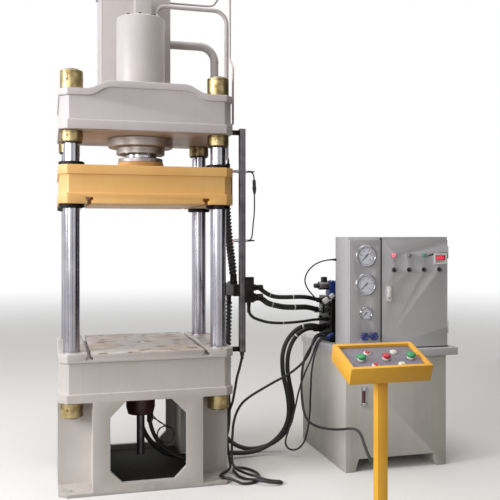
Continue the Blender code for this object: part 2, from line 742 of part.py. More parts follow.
def make_columns(look):
    """Each column with its base nut, the nut under the crown and its top nut."""
    shaft = COLUMN_DIAMETER / 2
    stub = shaft - STUB_SHRINK
    base_end = TABLE_UNDERSIDE - GAP - BASE_NUT_HEIGHT
    under_end = CROWN_UNDERSIDE - GAP - UNDER_CROWN_NUT_HEIGHT
    top_end = CROWN_SHOULDER + GAP + TOP_NUT_HEIGHT
    profile = [
        (0, base_end - COLUMN_STUB),
        (stub, base_end - COLUMN_STUB),
        (stub, base_end),
        *reversed(nut_profile(base_end, TABLE_UNDERSIDE - GAP)),
        (shaft, TABLE_UNDERSIDE - GAP),
        (shaft, under_end),
        *reversed(nut_profile(under_end, CROWN_UNDERSIDE - GAP)),
        (shaft, CROWN_UNDERSIDE - GAP),
        (shaft, CROWN_SHOULDER + GAP),
        *nut_profile(top_end, CROWN_SHOULDER + GAP),
        (stub, top_end),
        (stub, top_end + COLUMN_STUB),
        (0, top_end + COLUMN_STUB),
    ]
    for across, back, corner in CORNERS:
        foot = (across * COLUMN_PITCH_X / 2, back * COLUMN_PITCH_Y / 2, 0)
        place(f"column_{corner}", turned(profile, COLUMN_SIDES), look, foot)


def make_slide(look):
    """The slide with its guide bushes, its round boss and the striker that the sensors read."""

    def top_at(x):
        return SLIDE_TOP

    slide = place("slide_beam", beam(SLIDE_UNDERSIDE, top_at, SLIDE_BOTTOM_BAND, SLIDE_TOP_BAND), look)
    for slot in t_slots(SLIDE_UNDERSIDE, 1):
        cut(slide, slot)
    for low, high in (
        (SLIDE_UNDERSIDE - BUSH_HEIGHT, SLIDE_UNDERSIDE + LAP),
        (SLIDE_TOP - LAP, SLIDE_TOP + BUSH_HEIGHT),
    ):
        for bush in at_columns(lambda: collar(BUSH_DIAMETER, low, high, COLUMN_SIDES)):
            join(slide, bush)
    through = (SLIDE_UNDERSIDE - BUSH_HEIGHT - OVERRUN, SLIDE_TOP + BUSH_HEIGHT + OVERRUN)
    for bore in at_columns(lambda: rod(COLUMN_DIAMETER + 2 * RUNNING, *through, sides=COLUMN_SIDES)):
        cut(slide, bore)
    join(slide, rod(BOSS_DIAMETER, SLIDE_TOP - LAP, BOSS_TOP))
    proud, wide, tall = STRIKER_PLATE
    top = SLIDE_TOP - STRIKER_TOP_GAP
    join(
        slide,
        box(
            (BODY_RIGHT - FACE_RECESS - LAP, POST_Y - wide / 2, top - tall),
            (BODY_RIGHT + proud, POST_Y + wide / 2, top),
        ),
    )


def make_crown(look):
    """The crown: flat ends for the nuts and a middle raised on two smooth ramps."""
    flat = CROWN_FLAT / 2

    def top_at(x):
        share = min(max((abs(x) - flat) / CROWN_RAMP, 0), 1)
        return CROWN_TOP - CROWN_RISE * (1 - math.cos(math.pi * share)) / 2

    right = [flat + CROWN_RAMP * i / RAMP_STEPS for i in range(RAMP_STEPS + 1)]
    stations = [-x for x in reversed(right)] + right
    crown = place(
        "crown_beam", beam(CROWN_UNDERSIDE, top_at, CROWN_BOTTOM_BAND, CROWN_TOP_BAND, stations), look
    )
    through = (CROWN_UNDERSIDE - OVERRUN, CROWN_TOP + OVERRUN)
    for bore in at_columns(lambda: rod(COLUMN_DIAMETER + 2 * GAP, *through, sides=COLUMN_SIDES)):
        cut(crown, bore)
    cut(crown, rod(CYLINDER_NECK_DIAMETER + 2 * GAP, *through))


def make_cylinder(paint, steel, chrome):
    """The main cylinder hangs in the crown by its shoulder; its gland guides the ram."""
    neck = CYLINDER_NECK_DIAMETER / 2
    outer = CYLINDER_DIAMETER / 2
    bore = RAM_DIAMETER / 2 + RUNNING
    neck_end = CROWN_UNDERSIDE - GAP - RING_NUT_HEIGHT
    ceiling = CYLINDER_TOP - CYLINDER_HEAD
    place(
        "main_cylinder",
        turned(
            [
                (0, CYLINDER_TOP),
                (outer - CYLINDER_RIM, CYLINDER_TOP),
                (outer, CYLINDER_TOP - CYLINDER_RIM),
                (outer, CROWN_TOP + GAP),
                (neck, CROWN_TOP + GAP),
                (neck, neck_end),
                (bore, neck_end),
                (bore, ceiling),
                (0, ceiling),
            ]
        ),
        paint,
    )
    nut = place(
        "cylinder_ring_nut",
        ring(RING_NUT_DIAMETER, CYLINDER_NECK_DIAMETER + 2 * GAP, neck_end, CROWN_UNDERSIDE - GAP),
        steel,
    )
    deep, wide = RING_NUT_NOTCH
    for i in range(RING_NUT_NOTCHES):
        notch = block((2 * deep, wide, RING_NUT_HEIGHT + 2 * OVERRUN), (RING_NUT_DIAMETER / 2, 0, neck_end - OVERRUN))
        turn = Matrix.Rotation(math.tau * (i + 1 / 2) / RING_NUT_NOTCHES, 3, "Z")
        bmesh.ops.rotate(notch, matrix=turn, verts=notch.verts)
        cut(nut, notch)
    place(
        "cylinder_gland",
        ring(GLAND_DIAMETER, RAM_DIAMETER + 2 * RUNNING, neck_end - GAP - GLAND_HEIGHT, neck_end - GAP),
        steel,
    )
    seat = BOSS_TOP + GAP
    place("ram", rod(RAM_DIAMETER, seat, seat + RAM_LENGTH), chrome)
    place(
        "ram_flange",
        ring(RAM_FLANGE_DIAMETER, RAM_DIAMETER + 2 * GAP, seat, seat + RAM_FLANGE_HEIGHT),
        steel,
    )


def make_filling_tank(paint, grey):
    """The tank stands on the crown behind the cylinder; the valve feeds the cylinder's top."""
    front = CYLINDER_DIAMETER / 2 + TANK_FRONT_GAP
    left = TANK_CENTRE_X - TANK_WIDTH / 2
    bottom = CROWN_TOP + GAP
    top = bottom + TANK_HEIGHT
    tank = place(
        "filling_tank",
        box((left, front, bottom), (left + TANK_WIDTH, front + TANK_DEPTH, top)),
        paint,
    )
    join(
        tank,
        box(
            (left - TANK_LID_LIP, front - TANK_LID_LIP, top - LAP),
            (left + TANK_WIDTH + TANK_LID_LIP, front + TANK_DEPTH + TANK_LID_LIP, top + TANK_LID_HEIGHT),
        ),
    )
    breather = rod(BREATHER_DIAMETER, top, top + TANK_LID_HEIGHT + BREATHER_HEIGHT, COLUMN_SIDES)
    join(tank, moved(breather, (TANK_CENTRE_X, front + TANK_DEPTH / 2, 0)))
    seat = CYLINDER_TOP + GAP
    valve = place(
        "filling_valve",
        block((VALVE_WIDTH, VALVE_WIDTH, VALVE_HEIGHT), (VALVE_OFFSET_X, 0, seat)),
        grey,
    )
    foot = rod(VALVE_FLANGE_DIAMETER, seat, seat + VALVE_FLANGE_HEIGHT, COLUMN_SIDES)
    join(valve, moved(foot, (VALVE_OFFSET_X, 0, 0)))
    neck = facing(rod(VALVE_NECK_DIAMETER, 0, front - GAP, COLUMN_SIDES), (0, 1, 0))
    join(valve, moved(neck, (VALVE_OFFSET_X, 0, seat + VALVE_NECK_RISE)))


def union_nut(pipe, low):
    """A union around an upright pipe, from the given height up."""
    return collar(pipe * UNION_SHARE, low, low + UNION_HEIGHT, PIPE_SIDES)


def make_pipes(paint, steel):
    """The return pipe, the pressure pipe and the thin leak-off pipe, all in bent tube."""
    tank_right = TANK_CENTRE_X + TANK_WIDTH / 2 + GAP
    corners = [
        (tank_right, RETURN_PIPE_Y, RETURN_PIPE_TOP),
        (RETURN_PIPE_X, RETURN_PIPE_Y, RETURN_PIPE_TOP),
        (RETURN_PIPE_X, RETURN_PIPE_Y, RETURN_PIPE_END),
    ]
    place(
        "return_pipe", swept(rounded_route(corners, RETURN_PIPE_BEND), RETURN_PIPE_DIAMETER), paint
    )
    head = CYLINDER_TOP + GAP
    corners = [
        (PRESSURE_PORT_X, 0, head + LAP),
        (PRESSURE_PORT_X, 0, PRESSURE_PIPE_TOP),
        (PRESSURE_PIPE_X, 0, PRESSURE_PIPE_TOP),
        (PRESSURE_PIPE_X, 0, PRESSURE_PIPE_END + LAP),
    ]
    route = rounded_route(corners[:3], PRESSURE_PIPE_DIAMETER * 2)[:-1] + rounded_route(
        corners[1:], PRESSURE_PIPE_BEND
    )[1:]
    pipe = place("pressure_pipe", swept(route, PRESSURE_PIPE_DIAMETER), steel)
    join(pipe, moved(union_nut(PRESSURE_PIPE_DIAMETER, PRESSURE_PIPE_END), (PRESSURE_PIPE_X, 0, 0)))
    join(pipe, moved(union_nut(PRESSURE_PIPE_DIAMETER, head), (PRESSURE_PORT_X, 0, 0)))
    behind = LEAK_PIPE_AHEAD + LEAK_PIPE_STEP
    corners = [
        (tank_right, RETURN_PIPE_Y, LEAK_PIPE_TOP),
        (LEAK_PIPE_X, RETURN_PIPE_Y, LEAK_PIPE_TOP),
        (LEAK_PIPE_X, behind, LEAK_PIPE_TOP),
        (LEAK_PIPE_X, behind, LEAK_PIPE_STEP_LOW + LEAK_PIPE_STEP_HEIGHT),
        (LEAK_PIPE_X, LEAK_PIPE_AHEAD, LEAK_PIPE_STEP_LOW),
        (LEAK_PIPE_X, LEAK_PIPE_AHEAD, LEAK_PIPE_END),
        (BODY_RIGHT + GAP, LEAK_PIPE_AHEAD, LEAK_PIPE_END),
    ]
    place(
        "leak_off_pipe",
        swept(rounded_route(corners[:3], LEAK_PIPE_BEND)[:-1]
              + rounded_route(corners[1:5], LEAK_PIPE_BEND)[1 + BEND_STEPS + 1:-1]
              + rounded_route(corners[3:], LEAK_PIPE_DIAMETER)[1:], LEAK_PIPE_DIAMETER, SMALL // 2),
        steel,
    )


def make_ejector(red, dark):
    """The ejector hangs under the table; its rod runs through it and the table."""
    top = TABLE_UNDERSIDE - GAP
    bottom = top - EJECTOR_HEIGHT
    body = EJECTOR_DIAMETER / 2
    bore = EJECTOR_ROD_DIAMETER / 2 + RUNNING
    place(
        "ejector_cylinder",
        turned(
            [
                (bore, top),
                (bore, bottom),
                (EJECTOR_FOOT_DIAMETER / 2, bottom),
                (body, bottom + EJECTOR_CONE),
                (body, top - EJECTOR_FLANGE_HEIGHT),
                (EJECTOR_FLANGE_DIAMETER / 2, top - EJECTOR_FLANGE_HEIGHT),
                (EJECTOR_FLANGE_DIAMETER / 2, top),
            ]
        ),
        red,
    )
    place(
        "ejector_rod",
        rod(EJECTOR_ROD_DIAMETER, EJECTOR_ROD_END, TABLE_HEIGHT - EJECTOR_ROD_TOP_GAP, COLUMN_SIDES),
        dark,
    )


def make_switch_post(look):
    """A steel channel beside the columns, with two sensors and the bulkhead that the hoses reach."""
    half = POST_WIDTH / 2
    inner = half - POST_WALL
    channel = [
        (-half, -half),
        (half, -half),
        (half, half),
        (-half, half),
        (-half, inner),
        (inner, inner),
        (inner, -inner),
        (-half, -inner),
    ]
    outline = [(POST_X - x, POST_Y + y) for x, y in channel]
    post = place("switch_post", prism(outline, POST_BOTTOM, POST_TOP), look)
    left = POST_X - half
    right = POST_X + half
    thick, tall = BRACKET
    face = BODY_RIGHT + GAP
    for middle in (CROWN_UNDERSIDE + CROWN_BOTTOM_BAND / 2, TABLE_HEIGHT - TABLE_TOP_BAND / 2):
        join(
            post,
            box((face, POST_Y + half - LAP, middle - tall / 2), (right, POST_Y + half + thick, middle + tall / 2)),
        )
    join(post, box((left, POST_Y - half, POST_BOTTOM), (right, POST_Y + half, POST_BOTTOM + POST_WALL)))
    for height in (UPPER_SENSOR_HEIGHT, UPPER_SENSOR_HEIGHT - SENSOR_PITCH):
        tip = face + 2 * STRIKER_PLATE[0]
        barrel = facing(rod(SENSOR_DIAMETER, tip, tip + SENSOR_LENGTH, FINE), (1, 0, 0))
        join(post, moved(barrel, (0, POST_Y, height)))
        for start in (left - SENSOR_NUT, right - LAP):
            nut = facing(rod(SENSOR_NUT_DIAMETER, start, start + SENSOR_NUT + LAP, 6), (1, 0, 0))
            join(post, moved(nut, (0, POST_Y, height)))
    deep, wide = BULKHEAD_BLOCK
    join(
        post,
        box(
            (right - LAP, POST_Y - wide / 2, BULKHEAD_LOW),
            (right + deep, POST_Y + wide / 2, BULKHEAD_LOW + BULKHEAD_HEIGHT),
        ),
    )
    join(
        post,
        box(
            (BODY_RIGHT + BULKHEAD_BAR_FROM_BODY, POST_Y - half, BULKHEAD_BAR_LOW),
            (left + LAP, POST_Y + BULKHEAD_BAR_REACH, BULKHEAD_BAR_LOW + BULKHEAD_BAR_HEIGHT),
        ),
    )
    return post


def make_oil_tank(look):
    """The tank stands on two folded feet that run from front to back."""
    right = UNIT_LEFT + UNIT_WIDTH
    tank = place(
        "oil_tank",
        box((UNIT_LEFT, UNIT_FRONT, 0), (right, UNIT_FRONT + UNIT_DEPTH, UNIT_HEIGHT)),
        look,
    )
    slope = (FOOT_WIDTH_TOP - FOOT_WIDTH_BOTTOM) * OVERRUN / FOOT_HEIGHT
    cut_out = [
        (UNIT_LEFT + FOOT_WIDTH_BOTTOM - slope, -OVERRUN),
        (right - FOOT_WIDTH_BOTTOM + slope, -OVERRUN),
        (right - FOOT_WIDTH_TOP, FOOT_HEIGHT),
        (UNIT_LEFT + FOOT_WIDTH_TOP, FOOT_HEIGHT),
    ]
    cut(tank, front_prism(cut_out, UNIT_FRONT - OVERRUN, UNIT_FRONT + UNIT_DEPTH + OVERRUN))
    wide, proud, tall = LEVEL_GAUGE
    gauge = UNIT_LEFT + LEVEL_GAUGE_FROM_LEFT
    join(
        tank,
        box(
            (gauge - wide / 2, UNIT_FRONT - proud, LEVEL_GAUGE_BOTTOM),
            (gauge + wide / 2, UNIT_FRONT + LAP, LEVEL_GAUGE_BOTTOM + tall),
        ),
    )
    place(
        "tank_lid",
        box(
            (UNIT_LEFT - LID_LIP_LEFT, UNIT_FRONT - LID_LIP_FRONT, UNIT_HEIGHT + GAP),
            (right + LID_LIP_RIGHT, UNIT_FRONT + UNIT_DEPTH + LID_LIP_BACK, LID_TOP),
        ),
        look,
    )


def on_cabinet(place_of, proud=0.0):
    """A point on the cabinet's front, from its left and bottom edges."""
    return (CABINET_LEFT + place_of[0], CABINET_FRONT - proud, CABINET_BOTTOM + place_of[1])


def door_place(shares):
    """A place on the door, from the cabinet's left and bottom edges."""
    across, up = shares
    return (
        DOOR_LEFT - CABINET_LEFT + across * (DOOR_RIGHT - DOOR_LEFT),
        DOOR_BOTTOM - CABINET_BOTTOM + up * (DOOR_TOP - DOOR_BOTTOM),
    )


def forward(shape):
    """Turns a shape made along +Z to point at the operator."""
    bmesh.ops.rotate(shape, matrix=Matrix.Rotation(math.radians(90), 3, "X"), verts=shape.verts)
    return shape


def make_cabinet(look):
    """The cabinet: a solid gauge compartment on the left and an open electrical one on the right."""
    back = CABINET_FRONT + CABINET_DEPTH
    seat = CABINET_FRONT + DOOR_THICKNESS + DOOR_SEAT
    shell = place(
        "cabinet_shell",
        box((CABINET_LEFT, seat, CABINET_BOTTOM), (CABINET_RIGHT, back, CABINET_TOP)),
        look,
    )
    panel_right = CABINET_LEFT + PANEL_WIDTH
    join(
        shell,
        box(
            (CABINET_LEFT + PANEL_PROUD, CABINET_FRONT, CABINET_BOTTOM + DOOR_MARGIN[0]),
            (panel_right, seat + LAP, DOOR_TOP),
        ),
    )
    cut(
        shell,
        box(
            (panel_right + SHEET, seat - OVERRUN, CABINET_BOTTOM + SHEET + DOOR_MARGIN[0]),
            (CABINET_RIGHT - SHEET - HINGE_DIAMETER, back - SHEET, CABINET_TOP - SHEET - DOOR_MARGIN[1]),
        ),
    )
    inside = back - SHEET
    wide, tall = EQUIPMENT_PLATE
    middle = (panel_right + CABINET_RIGHT) / 2
    foot = CABINET_BOTTOM + (CABINET_HEIGHT - tall) / 2
    face = inside - EQUIPMENT_PLATE_THICKNESS
    join(shell, box((middle - wide / 2, face, foot), (middle + wide / 2, inside + LAP, foot + tall)))
    row = foot + tall - CONTACTOR[2] - CONTACTOR_PITCH
    for i in range(CONTACTORS):
        at = middle + (i - (CONTACTORS - 1) / 2) * CONTACTOR_PITCH
        join(shell, block(CONTACTOR, (at, face - CONTACTOR[1] / 2 + LAP, row)))
    join(shell, block(TERMINALS, (middle, face - TERMINALS[1] / 2 + LAP, foot + CONTACTOR_PITCH / 2)))
    join(
        shell,
        block(DRIVE, (middle - wide / 2 + DRIVE[0] / 2 + SHEET, face - DRIVE[1] / 2 + LAP, foot + 2 * CONTACTOR_PITCH)),
    )
    for end in (DOOR_BOTTOM + HINGE_INSET, DOOR_TOP - HINGE_INSET - HINGE_LENGTH):
        join(shell, moved(rod(HINGE_DIAMETER, end, end + HINGE_LENGTH, SMALL), (HINGE_X, CABINET_FRONT, 0)))
        join(
            shell,
            box(
                (HINGE_X, CABINET_FRONT, end),
                (CABINET_RIGHT, seat + LAP, end + HINGE_LENGTH),
            ),
        )
    for (where, radius) in GAUGE_PLACES.values():
        pocket = forward(rod(2 * (radius * GAUGE_CASE_SHARE + GAP), -GAUGE_CASE_DEPTH - GAP, OVERRUN, DIAL_SIDES))
        cut(shell, moved(pocket, on_cabinet(where)))
    for where in KNOB_PLACES.values():
        pocket = forward(rod(KNOB_STEM_DIAMETER + 2 * RUNNING, -2 * KNOB_STAND_OFF, OVERRUN, SMALL))
        cut(shell, moved(pocket, on_cabinet(where)))


def make_door(paint, chrome):
    """The door: a folded tray with lamps, a display and bezels, and its lock lever."""
    door = place(
        "cabinet_door",
        box(
            (DOOR_LEFT - HINGE_X, 0, DOOR_BOTTOM),
            (DOOR_RIGHT - HINGE_X, DOOR_THICKNESS, DOOR_TOP),
        ),
        paint,
        (HINGE_X, CABINET_FRONT, 0),
    )

    def on_door(where, shape):
        """Moves a shape made at the origin to a place on the door's face, in the door's axes."""
        return moved(shape, (CABINET_LEFT + where[0] - HINGE_X, 0, CABINET_BOTTOM + where[1]))

    fold = 2 * DOOR_SHEET
    cut(
        door,
        box(
            (DOOR_LEFT - HINGE_X + fold, DOOR_SHEET, DOOR_BOTTOM + fold),
            (DOOR_RIGHT - HINGE_X - fold, DOOR_THICKNESS + OVERRUN, DOOR_TOP - fold),
        ),
    )
    for end in (DOOR_BOTTOM + HINGE_INSET, DOOR_TOP - HINGE_INSET - HINGE_LENGTH):
        barrel = end + HINGE_LENGTH + GAP
        join(door, rod(HINGE_DIAMETER, barrel, barrel + HINGE_LENGTH, SMALL))
        join(
            door,
            box(
                (-HINGE_OFFSET - LAP, -HINGE_DIAMETER / 4, barrel),
                (0, HINGE_DIAMETER / 4, barrel + HINGE_LENGTH),
            ),
        )
    for where in map(door_place, LAMP_SHARES):
        lens = LAMP_DIAMETER / 2
        profile = [
            (0, -LAP),
            (BEZEL_DIAMETER / 2, -LAP),
            (BEZEL_DIAMETER / 2, BEZEL_HEIGHT / 2),
            (lens, BEZEL_HEIGHT),
            (lens * math.cos(math.pi / 6), LAMP_HEIGHT * 5 / 6),
            (0, LAMP_HEIGHT),
        ]
        join(door, on_door(where, forward(turned(profile, FINE))))
    for where in map(door_place, SELECTOR_SHARES.values()):
        bezel = collar(BEZEL_DIAMETER, -LAP, BEZEL_HEIGHT, SMALL)
        join(door, on_door(where, forward(bezel)))
        bore = rod(SELECTOR_DIAMETER + 4 * RUNNING, -SELECTOR_STEM_DEPTH - OVERRUN, OVERRUN, SMALL)
        cut(door, on_door(where, forward(bore)))
    wide, tall = DISPLAY_SIZE
    display = door_place(DISPLAY_SHARES)
    frame = front_prism(rectangle((-wide / 2, -tall / 2), (wide / 2, tall / 2)), -DISPLAY_HEIGHT, LAP)
    join(door, on_door(display, frame))
    window = rectangle(
        (-wide / 2 + DISPLAY_FRAME, -tall / 2 + DISPLAY_FRAME),
        (wide / 2 - DISPLAY_FRAME, tall / 2 - DISPLAY_FRAME),
    )
    recess = front_prism(window, -DISPLAY_HEIGHT - OVERRUN, -DISPLAY_HEIGHT + DISPLAY_RECESS)
    cut(door, on_door(display, recess))
    wide, tall = LOCK_PLATE
    lock = door_place(LOCK_SHARES)
    plate = front_prism(rectangle((-wide / 2, -tall / 2), (wide / 2, tall / 2)), -LOCK_HEIGHT, LAP)
    join(door, on_door(lock, plate))
    pivot = (lock[0], lock[1] - LOCK_PIVOT_DROP)
    bore = rod(LOCK_STEM_DIAMETER + 2 * RUNNING, -DOOR_THICKNESS - OVERRUN, LOCK_HEIGHT + OVERRUN, SMALL)
    cut(door, on_door(pivot, forward(bore)))
    wide, tall = LOCK_LEVER
    front = LOCK_HEIGHT + GAP
    round_end = [
        (wide / 2 * math.sin(turn), -wide / 2 * math.cos(turn))
        for turn in (math.pi * (i / SMALL * 2 - 1 / 2) for i in range(SMALL // 2 + 1))
    ]
    outline = [(x, z) for x, z in round_end] + [(wide / 2, tall - wide / 2), (-wide / 2, tall - wide / 2)]
    lever = place(
        "door_lock",
        front_prism(outline, -front - LOCK_LEVER_HEIGHT, -front),
        chrome,
        on_cabinet(pivot),
    )
    join(lever, forward(rod(LOCK_STEM_DIAMETER, -DOOR_SHEET, front + LAP, SMALL)))
    return door


def pointer_outline(radius):
    """A gauge pointer that points straight up: a taper, a round hub and a short tail."""
    hub = radius * POINTER_HUB_SHARE
    tip = radius * POINTER_REACH_SHARE
    tail = radius * POINTER_TAIL_SHARE
    turns = [math.radians(turn) for turn in (-50, -25, 0, 25, 50)]
    right = [(hub * math.cos(turn), hub * math.sin(turn)) for turn in turns]
    half = POINTER_TIP / 2
    side = [(POINTER_ROOT / 2, -tail), *right, (half, tip)]
    return side + [(-x, y) for x, y in reversed(side)]


def make_gauges(chrome, dark):
    """Three flange-mounted gauges, each with a pointer that turns on the dial's arbor."""
    for name, (where, radius) in GAUGE_PLACES.items():
        case = radius * GAUGE_CASE_SHARE
        window = radius * GAUGE_WINDOW_SHARE
        arbor = radius * GAUGE_ARBOR_SHARE
        dial = GAUGE_BEZEL_HEIGHT - GAUGE_DIAL_DEPTH
        profile = [
            (0, -GAUGE_CASE_DEPTH),
            (case, -GAUGE_CASE_DEPTH),
            (case, GAP),
            (radius, GAP),
            (radius, GAUGE_BEZEL_HEIGHT / 2),
            ((radius + window) / 2, GAUGE_BEZEL_HEIGHT),
            (window, GAUGE_BEZEL_HEIGHT),
            (window, dial),
            (arbor, dial),
            (arbor, dial + GAUGE_ARBOR_HEIGHT),
            (0, dial + GAUGE_ARBOR_HEIGHT),
        ]
        place(name, forward(turned(profile, DIAL_SIDES)), chrome, on_cabinet(where))
        front = dial + GAUGE_ARBOR_HEIGHT + GAP
        pointer = prism(pointer_outline(radius), front, front + POINTER_THICKNESS)
        rest = Matrix.Rotation(math.radians(POINTER_REST), 3, "Z")
        bmesh.ops.rotate(pointer, matrix=rest, verts=pointer.verts)
        place(name.replace("gauge", "pointer"), forward(pointer), dark, on_cabinet(where))


def make_knobs(look):
    """Two lobed needle-valve knobs under the gauges."""
    count = KNOB_LOBES * 4
    radius = KNOB_DIAMETER / 2
    outline = []
    for i in range(count):
        turn = math.tau * i / count
        reach = radius * (1 - KNOB_LOBE_SHARE * (1 - math.cos(KNOB_LOBES * turn)) / 2)
        outline.append((reach * math.cos(turn), reach * math.sin(turn)))
    for name, where in KNOB_PLACES.items():
        knob = prism(outline, KNOB_STAND_OFF, KNOB_STAND_OFF + KNOB_HEIGHT)
        knob = place(name, forward(knob), look, on_cabinet(where))
        join(knob, forward(rod(KNOB_STEM_DIAMETER, -KNOB_STAND_OFF, KNOB_STAND_OFF + LAP, SMALL)))


def make_selectors(look):
    """Four selector switches, each a disc with a bar to grip."""
    wide, long, tall = SELECTOR_GRIP
    for name, shares in SELECTOR_SHARES.items():
        stem = rod(SELECTOR_DIAMETER, -SELECTOR_STEM_DEPTH, SELECTOR_FACE, SMALL)
        selector = place(name, forward(stem), look, on_cabinet(door_place(shares)))
        join(
            selector,
            front_prism(rectangle((-wide / 2, -long / 2), (wide / 2, long / 2)), -SELECTOR_FACE - tall, LAP - SELECTOR_FACE),
        )


def make_lid_equipment(dark, grey):
    """The valve manifold with its solenoid valve, and the motor on its bell housing."""
    foot = LID_TOP + GAP
    top = foot + MANIFOLD_HEIGHT
    manifold = place("valve_manifold", box((*MANIFOLD_LOW, foot), (*MANIFOLD_HIGH, top)), dark)
    long, deep, tall = VALVE_BODY
    left = MANIFOLD_LOW[0] + VALVE_BODY_FROM[0]
    front = MANIFOLD_LOW[1] + VALVE_BODY_FROM[1]
    join(manifold, box((left, front, top - LAP), (left + long, front + deep, top + tall)))
    middle = (left + long / 2, front + deep / 2, top + tall - SOLENOID_DIAMETER / 2 - LAP)
    for side in (-1, 1):
        tube = long / 2 + SOLENOID_LENGTH
        coil = rod(SOLENOID_DIAMETER, long / 2 - LAP, tube, COLUMN_SIDES)
        join(manifold, moved(facing(coil, (side, 0, 0)), middle))
        cap = collar(SOLENOID_CAP_DIAMETER, tube - LAP, tube + SOLENOID_CAP_LENGTH, FINE)
        join(manifold, moved(facing(cap, (side, 0, 0)), middle))
        plug = block(
            SOLENOID_PLUG,
            (middle[0] + side * (long + SOLENOID_LENGTH) / 2, middle[1], middle[2] + SOLENOID_DIAMETER / 2 - LAP),
        )
        join(manifold, plug)
    bell = BELL_DIAMETER / 2
    flange = BELL_FLANGE_DIAMETER / 2
    bell_top = foot + BELL_HEIGHT
    body_top = bell_top + MOTOR_BODY
    cowl_top = body_top + COWL_HEIGHT
    profile = [
        (0, foot),
        (flange, foot),
        (flange, foot + BELL_FLANGE_HEIGHT),
        (bell, foot + BELL_FLANGE_HEIGHT),
        (bell, bell_top - BELL_FLANGE_HEIGHT),
        (flange, bell_top - BELL_FLANGE_HEIGHT),
        (flange, bell_top),
        (MOTOR_DIAMETER / 2 - MOTOR_FIN, bell_top),
        (MOTOR_DIAMETER / 2 - MOTOR_FIN, body_top),
        (COWL_DIAMETER / 2, body_top),
        (COWL_DIAMETER / 2, cowl_top - 2 * MOTOR_FIN),
        (COWL_DIAMETER / 2 - 2 * MOTOR_FIN, cowl_top),
        (0, cowl_top),
    ]
    motor = place("pump_motor", turned(profile), grey, (MOTOR_X, MOTOR_Y, 0))
    fins = []
    for i in range(4 * MOTOR_FINS):
        turn = math.tau * i / (4 * MOTOR_FINS)
        radius = MOTOR_DIAMETER / 2 - (MOTOR_FIN + LAP if i % 4 > 1 else 0)
        fins.append((radius * math.cos(turn), radius * math.sin(turn)))
    join(motor, prism(fins, bell_top - LAP, body_top + LAP))
    join(
        motor,
        block(TERMINAL_BOX, (0, MOTOR_DIAMETER / 2 + TERMINAL_BOX[1] / 2 - 2 * MOTOR_FIN, bell_top + 2 * MOTOR_FIN)),
    )


def make_pedestal(yellow):
    """The stand: a square tube on a base plate, cut to the slope of the tray that it carries."""
    half = STAND_TUBE / 2
    tilt = math.radians(TRAY_TILT)

    def underside(y):
        """Height of the tray's underside over a place on the floor."""
        return TRAY_EDGE_HEIGHT + (y - TRAY_FRONT) * math.tan(tilt) - (TRAY_THICKNESS + GAP) / math.cos(tilt)

    foot = rectangle((STAND_X - half, STAND_Y - half), (STAND_X + half, STAND_Y + half))
    plate = STAND_PLATE / 2
    stand = place(
        "pedestal_stand",
        box(
            (STAND_X - plate, STAND_Y - plate, 0),
            (STAND_X + plate, STAND_Y + plate, STAND_PLATE_THICKNESS),
        ),
        yellow,
    )
    levels = [[(x, y, STAND_PLATE_THICKNESS - LAP) for x, y in foot], [(x, y, underside(y)) for x, y in foot]]
    join(stand, layered(levels))
    thick, reach = STAND_GUSSET
    for side in (-1, 1):
        gusset = [
            (STAND_X + side * (half - LAP), STAND_PLATE_THICKNESS - LAP),
            (STAND_X + side * (half + reach), STAND_PLATE_THICKNESS - LAP),
            (STAND_X + side * (half + reach), STAND_PLATE_THICKNESS + LAP),
            (STAND_X + side * (half + LAP), STAND_PLATE_THICKNESS + reach),
            (STAND_X + side * (half - LAP), STAND_PLATE_THICKNESS + reach),
        ]
        join(stand, front_prism(gusset[::side], STAND_Y - thick / 2, STAND_Y + thick / 2))
    gland = facing(rod(STAND_GLAND_DIAMETER, half - LAP, half + STAND_GLAND_LENGTH, SMALL), (0, 1, 0))
    join(stand, moved(gland, (STAND_X, STAND_Y, STAND_GLAND_HEIGHT)))


